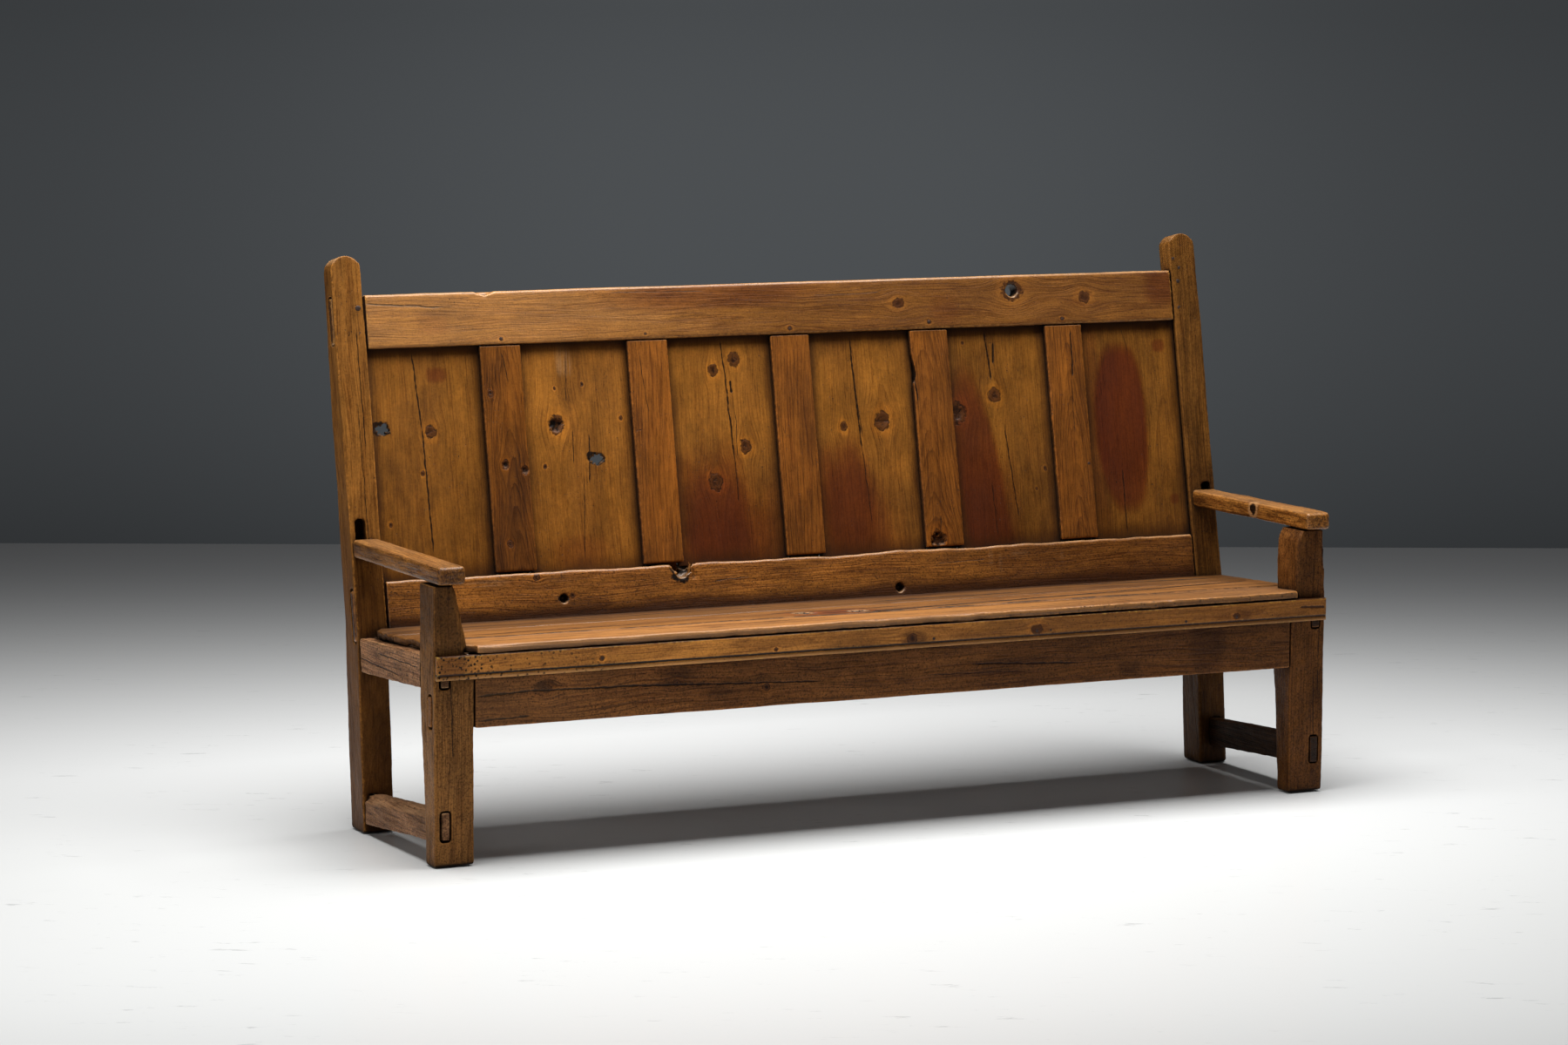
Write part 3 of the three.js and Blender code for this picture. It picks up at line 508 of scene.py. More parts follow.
def rubTop(wood):
    # wear and painted highlight: faces that look up get the lighter bare colour
    upper = ramp(wood.facing[2], 0.35, 0.8) * ramp(wood.patch, 0.3, 0.6, 0.35, 1.0)
    lay(wood, upper * ramp(wood.fibre, 0.62, 0.45, 0.5, 1.0) * wood.topWorn, wood.bare)


def waxRoughness(wood):
    smoothest, roughest = (value - wood.gloss for value in surface["rough"])
    roughness = ramp(wood.broad, 0.3, 0.7, smoothest, roughest) + (wood.fibre - 0.5) * 0.25
    return reckon("ADD", roughness - wood.rub * 0.12, wood.soil * 0.35, clamp=True)


def grainHeight(wood):
    height = wood.lateWood * 0.2 + wood.fibre * -0.6 + wood.patch * 1.6 - wood.pits * 1.2
    height = height - wood.hairLine * (0.35 * wood.fine) - wood.gritty * (0.9 * wood.grit)
    if wood.cracks:
        height = height - wood.crack * 2.5
    if wood.knots:
        height = height + wood.disc * 0.15 - wood.core * 0.6 - wood.rim * 0.3
    return height


def boardMaterial(name, look, lie, **own):
    material, tree, shader = newMaterial(name)
    wood = SimpleNamespace(tree=tree, lie=lie, **{**plainBoard, **own})
    for kind, count in markLengths.items():
        marks = getattr(wood, kind)
        setattr(wood, kind, [(*(v / 1000 for v in mark[:count]), *mark[count:]) for mark in marks])
    wood.early = scaled(pine[look]["early"], wood.tone)
    wood.late = scaled(pine[look]["late"], wood.tone)
    wood.light = scaled(wood.early, 1.3)
    # the smoke colour darkens wax patches, end grain and the grime bands, some of which are painted shade
    wood.smoke = tuple(c * k for c, k in zip(wood.late, tints["smoke"]))
    wood.bare = tuple(0.55 * c + k for c, k in zip(wood.early, pine["bareWood"]))
    layBoard(wood)
    turnRoundKnots(wood)
    growRings(wood)
    waxAndSmoke(wood)
    spillStains(wood)
    openPores(wood)
    if wood.knots:
        colorKnots(wood)
    if wood.cracks:
        openCracks(wood)
    drawLines(wood)
    blackenHoles(wood)
    rubAndSoil(wood)
    wearArrises(wood)
    boreWorms(wood)
    if wood.topWorn:
        rubTop(wood)
    bump = made(tree, "ShaderNodeBump", {
        "Strength": surface["bumpStrength"] * wood.relief, "Distance": surface["bumpHeight"],
        "Height": grainHeight(wood)})
    feed(shader, {
        "Base Color": wood.color, "Roughness": waxRoughness(wood), "Specular IOR Level": wood.sheen,
        "Coat Weight": wood.wax, "Coat Roughness": surface["coatRough"], "Normal": bump})
    return material


# Soft hand-worn surfaces on the bench's own pieces

planing = {"waves": 0.16, "dents": 0.022, "inward": 0.95}  # sizes in metres, and how much of it cuts in


def woodField(name, size):
    field = bpy.data.textures.new(name, "CLOUDS")
    field.noise_scale = size
    field.noise_depth = 1
    return field


handPlaned = woodField("handPlaned", planing["waves"])
knocked = woodField("dents", planing["dents"])


def wear(node, voxel, rounds, wave=0.0016, dent=0.0006):
    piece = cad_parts[node]
    remesh = piece.modifiers.new("closeGrain", "REMESH")
    remesh.mode = "VOXEL"
    remesh.voxel_size = voxel
    remesh.use_smooth_shade = True
    smooth = piece.modifiers.new("softArris", "SMOOTH")
    smooth.factor = 0.5
    smooth.iterations = rounds
    for label, field, amount in (("wave", handPlaned, wave), ("dents", knocked, dent)):
        uneven = piece.modifiers.new(label, "DISPLACE")
        uneven.texture = field
        uneven.texture_coords = "LOCAL"
        uneven.strength = amount
        uneven.mid_level = planing["inward"]
    return piece


def coat(piece, material):
    for slot in piece.material_slots:
        slot.material = material
    if not piece.material_slots:
        piece.data.materials.append(material)


def rise(value, low, high):  # 0 at low, 1 at high
    share = min(1.0, max(0.0, (value - low) / (high - low)))
    return share * share * (3 - 2 * share)


def unevenness(*place):  # about -1 to 1
    return noise.noise(Vector(place)) * 1.6


# What years of use took off, or left standing: one rule for each damaged piece, in metres

seatDamage = {
    "bite": 0.010, "biteReach": 0.07, "biteSag": 0.004,  # ragged left ends
    "sink": 0.0018, "sinkWidth": 0.03,                   # rear edges, sunk below the next board
    "front": (-0.3005, -0.286), "frontWorn": 0.0022, "frontLow": 0.0018,
    "top": 0.403,
    "gouges": [  # x, y, radius, depth
        (-0.125, -0.104, 0.018, 0.006), (-0.014, -0.127, 0.02, 0.005), (-0.1, -0.112, 0.01, 0.003)],
}


def seatWear(node):
    low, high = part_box(node)

    def move(co):
        near = 1 - rise(co.x, low.x, low.x + seatDamage["biteReach"])
        if near:
            tear = 0.4 + 0.7 * unevenness(co.y * 14, co.z * 20, 2.0)
            tear += 0.12 * unevenness(co.y * 110, co.z * 200, 5.0)
            co.x += near * seatDamage["bite"] * max(0.0, tear)
            co.z -= near * seatDamage["biteSag"] * max(0.0, unevenness(co.x * 20, co.y * 60, 8.0))
        if node != "seat_board_rear":
            sunk = rise(co.y, high.y - seatDamage["sinkWidth"], high.y)
            sunk *= 0.65 + 0.35 * unevenness(co.x * 3.1, low.y * 9, 0.5)
            co.z -= seatDamage["sink"] * sunk * (0.35 + 0.65 * rise(co.x, -0.35, 0.1))
        front = 1 - rise(co.y, *seatDamage["front"])
        if front:
            co.y += front * seatDamage["frontWorn"] * max(0.0, unevenness(co.x * 26, co.z * 12, 1.0) + 0.1)
            co.z -= front * seatDamage["frontLow"] * max(0.0, unevenness(co.x * 11, 4.0, 1.0))
        if co.z > seatDamage["top"]:
            for x, y, radius, depth in seatDamage["gouges"]:
                far = math.hypot(co.x - x, co.y - y) / radius
                far += 0.35 * unevenness(co.x * 110, co.y * 110, 3.0)
                if far < 1:
                    co.z -= depth * rise(1 - far, 0.0, 0.5)
        return co
    return move


lowerRailDamage = {"top": (0.062, 0.094), "sag": 0.0055, "nicks": 0.0010,   # its top is wavy
                   "splitAt": -0.276, "splitReach": (0.016, 0.034), "splitRagged": (0.004, 0.007, 0.005)}


def railWear(node):
    tornAcross, tornUp, tornIn = lowerRailDamage["splitRagged"]

    def move(co):
        x, up, behind = upRake(co)
        near = rise(up, *lowerRailDamage["top"])
        if near:
            torn = 1 - rise(abs(x - lowerRailDamage["splitAt"]), *lowerRailDamage["splitReach"])
            sag = lowerRailDamage["sag"] * (0.5 + 0.5 * unevenness(x * 6.5, 1.0, 0.0))
            nicks = lowerRailDamage["nicks"] * unevenness(x * 26, 2.0, 0.0)
            up -= near * (sag + nicks + tornUp * torn * unevenness(x * 150, behind * 60, 0.5))
            x += torn * tornAcross * unevenness(up * 130, behind * 90, 7.0)
            behind += torn * tornIn * max(0.0, unevenness(x * 120, up * 40, 3.0))
        return onBack(x, up, behind)
    return move


frontPostDamage = {"flare": 0.012, "round": 0.016, "innerReach": 0.055, "seatTop": 0.41,
                   "shoulder": 0.022, "roundHeight": 0.034}  # the part above the seat


def postWear(node):
    low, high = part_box(node)
    way = 1 if high.x < 0 else -1  # the way its inner face looks
    inner = high.x if way > 0 else low.x
    shoulder = high.z - frontPostDamage["shoulder"]  # where the arm rests
    seatTop = frontPostDamage["seatTop"]
    narrowing = 1.7 if way > 0 else 0.4

    def move(co):
        share = 1 - rise((inner - co.x) * way, 0.0, frontPostDamage["innerReach"])
        if co.z > seatTop - 0.01 and share:
            climb = rise(co.z, seatTop, shoulder)
            flare = frontPostDamage["flare"] * (1 - narrowing * climb)
            flare *= rise(co.z, seatTop - 0.005, seatTop + 0.015)
            corner = rise(co.z, shoulder - frontPostDamage["roundHeight"], shoulder + 0.004) ** 2
            co.x += way * share * (flare - frontPostDamage["round"] * corner)
        return co
    return move


armDamage = {"endRound": 0.014, "sideRound": 0.010, "sink": 0.8, "draw": 0.7}


def roundOver(inside, reach):  # how far a rounded arris sinks, so far inside the edge
    left = max(0.0, min(reach, reach - inside))
    return reach - math.sqrt(reach * reach - left * left)


def armWear(node):
    low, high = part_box(node)
    middle = (low + high) / 2
    half = (high.x - low.x) / 2

    def move(co):
        side = abs(co.x - middle.x)
        endSink = roundOver(co.y - low.y, armDamage["endRound"])
        sideSink = roundOver(half - side, armDamage["sideRound"])
        co.z -= rise(co.z, low.z, high.z) * armDamage["sink"] * (endSink + sideSink)
        co.x -= math.copysign(min(side, armDamage["draw"] * endSink * side / half), co.x - middle.x)
        return co
    return move


backDamage = {  # craters: x, up, radius, depth; torn holes: x, up, reach, leaning way, how far it closes
    "craters": {"panel_2": [(-0.5259, 0.386, 0.015, 0.007)], "muntin_4": [(0.3122, 0.1087, 0.017, 0.006)],
                "muntin_1": [(-0.6478, 0.3103, 0.008, 0.003), (-0.6067, 0.2976, 0.009, 0.003)],
                "panel_4": [(0.2092, 0.3646, 0.014, 0.002)], "panel_5": [(0.3871, 0.374, 0.016, 0.003)]},
    "tornHoles": {"panel_1": (-0.9001, 0.3914, 0.016, (-0.75, 0.66), 0.0065),
                  "panel_2": (-0.4435, 0.3133, 0.016, (-0.80, 0.60), 0.0080)},
    "frontSkin": 0.021,  # craters go only into what lies no further behind the face
    "tearReach": 1.7, "tearDepth": 0.0045,
    "edgeBitten": "muntin_4", "bite": 0.0075, "biteWidth": 0.012, "biteAt": 0.45,
}


def backWear(node):
    craters = backDamage["craters"].get(node, [])
    hole = backDamage["tornHoles"].get(node)
    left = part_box(node)[0].x
    biteEnd = left + backDamage["biteWidth"]

    def tear(x, up):  # a hole's rim, closed in on one side and torn all round
        holeX, holeUp, reach, (leanX, leanUp), closing = hole
        away = Vector((x - holeX, up - holeUp))
        share = 1 - away.length / (reach * backDamage["tearReach"])
        if away.length == 0 or share <= 0:
            return x, up
        pull = backDamage["tearDepth"] * share * (unevenness(x * 130, up * 130, 1.0) - 0.2)
        pull -= closing * share * max(0.0, (away.x * leanX + away.y * leanUp) / away.length)
        return x + away.x / away.length * pull * 2, up + away.y / away.length * pull * 2

    def move(co):
        x, up, behind = upRake(co)
        for craterX, craterUp, radius, depth in craters:
            far = math.hypot(x - craterX, up - craterUp) / radius + 0.3 * unevenness(x * 150, up * 150, 3.0)
            if far < 1 and behind < backDamage["frontSkin"]:
                behind += depth * rise(1 - far, 0.0, 0.5)
        if hole:
            x, up = tear(x, up)
        if node == backDamage["edgeBitten"] and x < biteEnd:
            bite = max(0.0, unevenness(up * 30, behind * 40, 6.0) + 0.25)
            bite *= 1 - rise(abs(up - backDamage["biteAt"]), 0.02, 0.07)
            x += backDamage["bite"] * bite * (1 - rise(x, left, biteEnd))
        return onBack(x, up, behind)
    return move


wearRules = {"seat_board_front": seatWear, "seat_board_middle": seatWear, "seat_board_rear": seatWear,
             "lower_back_rail": railWear, "front_post_left": postWear, "front_post_right": postWear,
             "arm_left": armWear, "arm_right": armWear, "panel_1": backWear, "panel_2": backWear,
             "panel_4": backWear, "panel_5": backWear, "muntin_1": backWear, "muntin_4": backWear}


def reshape(node, move):  # a copy of the worn piece with its damage
    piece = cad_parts[node]
    seen = piece.evaluated_get(bpy.context.evaluated_depsgraph_get())
    mesh = bpy.data.meshes.new_from_object(seen)
    mesh.transform(piece.matrix_world)
    for vertex in mesh.vertices:
        vertex.co = move(vertex.co.copy())
    mesh.shade_smooth()
    worn = bpy.data.objects.new(node + "_worn", mesh)
    bpy.context.collection.objects.link(worn)
    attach(worn, "root")
    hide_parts(node)
    piece.modifiers.clear()
    return worn


def dressBoards(boards, **shared):
    for node, own in boards.items():
        look = {**shared, **own}
        shape = {key: look.pop(key) for key in ("voxel", "rounds", "wave", "dent") if key in look}
        piece = wear(node, **shape)
        if node in wearRules:
            piece = reshape(node, wearRules[node](node))
        coat(piece, boardMaterial("pine_" + node, **look))
    print("dressed", ", ".join(boards))


# The back's two rails

backRails = {
    "top_back_rail": dict(look="honey", pith=(0.585, 0.055), spacing=0.0065, taper=0.012, seed=1.3,
        tone=1.17, contrast=0.6, patina=0.3, fine=0.6, grit=0.4, topWorn=0.7,
        knots=[(608, 259.6, 10, 0.8), (626.5, 531, 19, 0.3), (607.7, 704, 12, 0.95), (563, -638, 4, 1.0),
            (563, -321.5, 3, 1.0), (564, 5, 4.5, 1.0), (567, 329, 4.5, 1.0), (564, 648, 4, 1.0)],
        cracks=[(642, -924, 630, -755, 2.3), (660.3, -924, 657.8, -690, 1.9), (650, -400, 646, -180, 0.9),
            (630, 60, 632, 220, 0.8)],
        stains=[(640, -180, 26, 200, 0.5, 0.5), (630, 900, 40, 40, 0.6, 0.4),
            (600, -780, 20, 30, 0.25, 0.5), (590, 370, 30, 30, 0.3, 0.5)], holes=[(626.5, 531, 14.5, 14.5)],
        rubbed=[("along", 0.05, -0.75, 0.26)], grime=[("along", -0.6, 0.0, 0.55)]),
    "lower_back_rail": dict(look="orange", pith=(0.03, 0.075), spacing=0.007, taper=0.01, seed=4.1,
        tone=0.97, wave=0.002, dent=0.0008, contrast=0.5, patina=0.4, fine=0.7, grit=0.5, topWorn=0.9,
        dirt=0.6, knots=[(80, -600, 6, 0.9), (40, -525, 5, 1.0)],
        cracks=[(52, -210, 56, -130, 1.2), (60, 300, 62, 420, 0.9)],
        pale=[(66, 430, 14, 5, 0.5), (52, 452, 20, 4, 0.45), (60, 600, 16, 4, 0.4), (70, 500, 8, 20, 0.35),
            (74, -710, 6, 50, 0.4)], holes=[(35, -545, 9.5, 9.5), (14, 211, 9.5, 9.5), (80, -283, 24, 21)],
        # dirt and painted shade along the rail's foot where it meets the seat; darker towards the right
        grime=[("across", 0.036, 0.008, 0.9), ("along", 0.2, 0.6, 0.5)], worms=[(-2.0, -1.0, 0.5, 165)]),
}
dressBoards(backRails, lie="backAlong", voxel=0.0035, rounds=4, drift=0.02, relief=0.5, endDark=0.95,
            wax=0.35)

# Posts

rearPosts = {
    "rear_post_left": dict(pith=(-0.93, 0.1), seed=22.0, tone=0.77, patina=0.35, topWorn=0.8, worn=0.9,
        relief=0.6, grime=[("along", 0.2, 0.06, 0.6)],
        cracks=[(-945, 600, -942, 350, 1.3), (-953, 450, -950, 160, 1.1)]),
    "rear_post_right": dict(pith=(0.98, 0.08), seed=25.0, tone=0.46, topWorn=0.4, grit=0.4,
        grime=[("along", -0.05, -0.15, 0.4)]),
}
dressBoards(rearPosts, look="honey", lie="backUp", voxel=0.0034, rounds=4, wave=0.003, dent=0.001,
            spacing=0.006, taper=0.02, contrast=0.5, fine=0.65, sheen=0.08)

frontPosts = {
    "front_post_left": dict(look="olive", voxel=0.0026, pith=(-0.93, -0.2), seed=27.0, tone=1.1,
        patina=0.35, contrast=0.45, grit=0.7, grime=[("along", 0.33, 0.48, 0.65)],
        worms=[(0.15, 0.5, 0.5, 95)], cracks=[(-955, 390, -950, 200, 1.4), (-930, 520, -935, 440, 1.2)]),
    "front_post_right": dict(look="brown", voxel=0.0028, pith=(0.97, -0.22), seed=29.0, tone=1.05,
        patina=0.45, contrast=0.5, grit=0.8, grime=[("along", 0.4, 0.25, 0.3)],
        cracks=[(962, 260, 965, 100, 1.3), (975, 420, 973, 200, 1.1)]),
}
dressBoards(frontPosts, lie="up", rounds=3, wave=0.004, dent=0.0016, spacing=0.006, fine=0.7, relief=0.6,
            sheen=0.08)

# Arms

arms = {
    "arm_left": dict(pith=(-0.95, 0.5), seed=31.0, tone=0.95, endDark=0.45, sideDark=0.2,
        worms=[(0.0, -0.2, 0.5, 95)], cracks=[(-955, -200, -953, -50, 1.1), (-972, -120, -970, 20, 1)]),
    "arm_right": dict(pith=(0.95, 0.5), seed=33.0, tone=1.05, endDark=0.2, worms=[(-0.1, -0.25, 0.5, 95)],
        bores=[(930, -91, 573, 10.5)]),
}
dressBoards(arms, look="honey", lie="arm", voxel=0.0025, rounds=4, wave=0.003, dent=0.0012, spacing=0.006,
            patina=0.4, topWorn=0.3, worn=0.35, grit=0.8, relief=0.6, gloss=0.14, wax=0.2)

# Side seat rails and stretchers

# the left pieces' high tones and the right pieces' low tones are partly painted light: lighter where light
# falls on the bench's left side, darker in the shade under its right side
sideRails = {
    "side_seat_rail_left": dict(look="dull", voxel=0.003, rounds=3, wave=0.003, dent=0.0016,
        pith=(0.36, -0.9), seed=35.0, tone=1.98, grit=1.1, sheen=0.08, endDark=0.8,
        worms=[(0.2, -0.1, 0.6, 95)], cracks=[(375, -200, 372, 20, 1.6), (345, -100, 350, 130, 1.4)]),
    "side_seat_rail_right": dict(look="brown", voxel=0.003, rounds=3, dent=0.0012, pith=(0.36, 0.9),
        seed=36.0, tone=0.7, grit=0.8, endDark=0.8),
    "stretcher_left": dict(look="dull", voxel=0.0024, rounds=4, wave=0.003, dent=0.0016, pith=(0.06, -0.93),
        seed=37.0, tone=1.8, grit=0.9, sheen=0.08, topWorn=0.6, dirt=0.5, endDark=0.45),
    "stretcher_right": dict(look="brown", voxel=0.003, rounds=4, dent=0.0012, pith=(0.08, 0.93), seed=38.0,
        tone=0.4, grit=0.6, endDark=0.6),
}
dressBoards(sideRails, lie="deep", spacing=0.006)

# The deep front rail and the beaded moulding above it

frontBoards = {
    "front_rail": dict(look="brown", voxel=0.0036, rounds=4, wave=0.002, dent=0.0008, pith=(0.33, -0.22),
        spacing=0.008, seed=40.0, tone=1.5, drift=0.03, grit=0.6, fine=0.8, sheen=0.1, contrast=0.45,
        patina=0.35, relief=0.6,
        smudges=[(335, 705, 70, 40, 0.75), (337, -760, 16, 22, 0.7), (340, -490, 20, 35, 0.7),
            (300, -400, 12, 30, 0.4), (310, -80, 18, 30, 0.4), (290, 520, 14, 25, 0.5)],
        knots=[(304.4, -293.5, 7, 1.0), (333, -757, 8, 0.9), (325, -485, 6, 1.0)],
        cracks=[(326, -903, 331, -770, 3), (330, -800, 325, -560, 2.6), (327, -600, 318, -400, 3),
            (319, -430, 308, -170, 2.2), (321.5, 160, 307.7, 408, 2.8), (305, 60, 300, 280, 1.2),
            (278.5, -900, 282, -790, 2.6)], rubbed=[("along", -0.45, -0.95, 0.12)],
        grime=[("along", -0.7, 0.4, 0.5)], worms=[(-2.0, -1.0, 0.5, 165)]),
    "fascia_moulding": dict(look="honey", voxel=0.0018, rounds=2, wave=0.0014, dent=0.0006,
        pith=(0.39, -0.24), spacing=0.005, seed=43.0, tone=1.5, contrast=0.55, patina=0.4, grit=0.45,
        fine=0.55, relief=0.45,
        knots=[(383.5, 18.7, 9, 1.0), (379.9, -279.4, 4, 1.0), (386, -649, 5, 1.0), (384, 300, 10, 0.7),
            (383, 766, 6, 0.9)],
        smudges=[(386, -955, 30, 30, 0.6), (383.5, 24, 12, 22, 0.8), (385, 305, 10, 20, 0.6),
            (384, 780, 12, 20, 0.6)],
        # painted shadow along the top under the seat's nosing; the line paints shade in the quirk, the rubbed
        # band a highlight on the bead; the along bands darken it towards the right and at the left end
        grime=[("along", -0.7, 0.6, 0.55), ("across", 0.4055, 0.4078, 1.0), ("along", -0.89, -0.95, 0.35)],
        lines=[(0.3727, 0.0028, 1.0, 0.0)], rubbed=[("across", 0.3697, 0.3672, 0.55)],
        worms=[(-0.45, -0.85, 0.8, 105), (-0.86, -0.9, 1.0, 120)], cracks=[(393, 917, 390, 978, 4.2)]),
}
dressBoards(frontBoards, lie="along", taper=0.01)

# Seat boards

seatBoards = {
    "seat_board_front": dict(voxel=0.0034, pith=(-0.22, 0.3), seed=46.0, tone=1.07, contrast=0.5,
        sheen=0.25, topWorn=0.15, lines=[(-0.1605, 0.006, 0.9, 0.9)],
        # the rubbed band is wear and a painted highlight along the nosing; the two depth bands paint shade on
        # the nosing's lower face and a shadow beneath it; the along bands darken it towards the right and at
        # the left end
        rubbed=[("across", -0.2925, -0.2985, 0.4)],
        grime=[("depth", 0.4205, 0.416, 0.35), ("depth", 0.4145, 0.4112, 1.0), ("along", -0.3, 0.9, 0.45),
            ("along", -0.9, -0.96, 0.7)], worms=[(-0.1, 0.5, 0.5, 95)],
        cracks=[(-255, 100, -262, 620, 3), (-210, -550, -214, -100, 2.6), (-235, -860, -238, -660, 3.4),
            (-190, 300, -185, 930, 3.6)]),
    "seat_board_middle": dict(voxel=0.0036, pith=(-0.1, 0.33), seed=48.0, tone=0.74, contrast=0.45,
        sheen=0.2, lines=[(-0.157, 0.007, 0.9, 0.9)],
        cracks=[(-152, 0, -128, 240, 8.5), (-131, 200, -94, 470, 9), (-98, 440, -75, 700, 10),
            (-78, 660, -42, 950, 9.5), (-85, -200, -90, 120, 5), (-110, -850, -112, -450, 4)],
        stains=[(-115, -70, 35, 90, 0.7, 0.5)],
        smudges=[(-108, -128, 16, 18, 0.9), (-130, -12, 14, 20, 0.9), (-122, -70, 8, 50, 0.7)],
        bores=[(-125, -104, 413.5, 13), (-14, -127, 414, 12)],
        knots=[(-104, -125, 20, 1.0), (-127, -14, 20, 1.0)]),
    "seat_board_rear": dict(voxel=0.0036, pith=(0.05, 0.35), seed=50.0, tone=0.43, contrast=0.45,
        sheen=0.22, grime=[("across", 0.07, 0.118, 0.85)],
        cracks=[(85, 600, 55, 930, 8), (30, 100, 25, 450, 6), (60, -600, 55, -100, 5)]),
}
dressBoards(seatBoards, look="seat", lie="seat", rounds=3, wave=0.002, spacing=0.009, taper=0.01,
            drift=0.004, stretch=0.3, widen=9.0, patina=0.2, fine=0.6, gloss=0.06)

hiddenBoards = {
    "seat_ledger": dict(lie="along", pith=(0.36, 0.1), spacing=0.007, seed=52.0),
    "seat_bearer_left": dict(lie="deep", pith=(0.37, -0.32), spacing=0.006, seed=54.0),
    "seat_bearer_right": dict(lie="deep", pith=(0.37, 0.32), spacing=0.006, seed=56.0),
}
dressBoards(hiddenBoards, look="dull", voxel=0.004, rounds=2, taper=0.01)

# Panels, with dirt and painted shade where each one goes into its grooves, and painted shadow under the top
# rail

panels = {
    "panel_1": dict(voxel=0.003, pith=(-0.83, 0.07), seed=0.7, tone=0.93,
        knots=[(-797.2, 384, 11, 0.5), (-820.5, 300.3, 4.5, 1.0), (-896, 202.5, 4, 1.0)],
        holes=[(-906, 395.5, 15, 11), (-900.1, 391.4, 16, 11)],
        cracks=[(-825.8, 544.5, -815.6, 386, 2.2), (-815.6, 396, -809.9, 140.8, 2.3)],
        stains=[(-775, 497, 19, 14, 0.6, 0.4)]),
    "panel_2": dict(voxel=0.003, pith=(-0.5, 0.05), seed=2.9, tone=1.2,
        knots=[(-525.9, 386, 15, 0.35), (-463.1, 466.3, 3.5, 1.0), (-524, 460, 3, 1.0),
            (-556.8, 303, 4, 0.9), (-383.8, 394.5, 4, 0.8)],
        holes=[(-450, 318.5, 14, 9.5), (-443.5, 313.3, 16.5, 11.5), (-531, 388, 6, 8)],
        cracks=[(-455.5, 365, -462.5, 265, 1.9), (-490.7, 375, -494.5, 305, 1.3),
            (-473.2, 279.6, -485.3, 112.4, 1.2), (-493.6, 526.5, -500.6, 431.1, 1)],
        pale=[(-500, 515, 16, 30, 0.6)], stains=[(-500, 125, 60, 30, 0.35, 0.5)]),
    "panel_3": dict(pith=(-0.15, 0.045), seed=5.2, tone=1.0,
        knots=[(-169.3, 484.6, 10.5, 1.0), (-121.3, 505.6, 12, 0.95), (-110.4, 325.1, 11.5, 1.0),
            (-182.1, 255.6, 14, 0.8)],
        cracks=[(-148.7, 545, -143.6, 465, 2), (-143.6, 480, -136.1, 290, 2.5),
            (-136.1, 300, -133.5, 210, 1.3), (-126, 400, -129, 300, 1), (-132, 462, -132, 436, 3.6)],
        stains=[(-160, 110, 125, 135, 0.8, 0.55), (-190, 180, 65, 120, 0.7, 0.5)]),
    "panel_4": dict(pith=(0.21, 0.06), seed=7.7, tone=1.03,
        knots=[(118.6, 355.9, 8.5, 0.6), (209.2, 364.6, 16, 0.2)],
        cracks=[(147.6, 546, 156.8, 301.5, 2.5), (158, 310, 166, 150, 1.2), (153, 440, 160, 330, 1.1)],
        stains=[(130, 150, 80, 135, 0.65, 0.5, -0.25), (118, 205, 52, 110, 0.55, 0.4)]),
    "panel_5": dict(pith=(0.545, 0.055), seed=9.4, tone=0.78,
        knots=[(387.1, 374, 18, 0.7), (478.7, 407.9, 12.5, 0.8), (412.6, 521.1, 3, 1.0), (585, 248, 4, 1.0),
            (561, 206.5, 3, 1.0)],
        cracks=[(465.2, 546.2, 473.4, 438.6, 2.5), (485.1, 520.2, 479.8, 475.2, 2.9),
            (495.6, 351.9, 514.4, 140.2, 1.7), (455.8, 225.7, 460.8, 107.5, 1.1)],
        stains=[(436, 170, 52, 275, 0.9, 0.2, -0.11), (440, 130, 70, 140, 0.5, 0.4)]),
    "panel_6": dict(pith=(0.88, 0.07), seed=11.8, tone=0.75,
        cracks=[(773.1, 239.1, 772.4, 101.8, 1.7), (797.6, 539, 809.3, 487.7, 0.8)],
        stains=[(779.4, 325.7, 60, 168, 1.0, 0.12), (779.4, 350, 58, 130, 0.5, 0.3),
            (885.4, 499.8, 15, 14, 0.7, 0.3), (895.3, 168.2, 10, 10, 0.6, 0.3),
            (715, 330, 22, 240, 0.35, 0.4)]),
}
grooveDirt = {
    "width": 0.022, "amount": 0.55,  # dirt and painted shade beside the uprights
    # darker at the bottom edge, painted shadow under the top rail in the two top bands, and darker towards
    # the bottom overall
    "rails": [("along", 0.13, 0.094, 0.65), ("along", 0.515, 0.552, 0.75), ("along", 0.534, 0.55, 0.7),
              ("along", 0.42, 0.12, 0.2)],
}
uprights = ["rear_post_left", "muntin_1", "muntin_2", "muntin_3", "muntin_4", "muntin_5", "rear_post_right"]
for panel, leftUpright, rightUpright in zip(panels.values(), uprights, uprights[1:]):
    left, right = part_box(leftUpright)[1].x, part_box(rightUpright)[0].x
    width, amount = grooveDirt["width"], grooveDirt["amount"]
    beside = [("across", left + width, left, amount), ("across", right - width, right, amount)]
    panel.update(voxel=panel.get("voxel", 0.004), grime=beside + grooveDirt["rails"])
dressBoards(panels, look="panel", lie="backUp", rounds=2, spacing=0.0055, drift=0.014, contrast=0.45,
            patina=0.45, worn=0.15, grit=0.25, fine=0.48, relief=0.6)

# Muntins

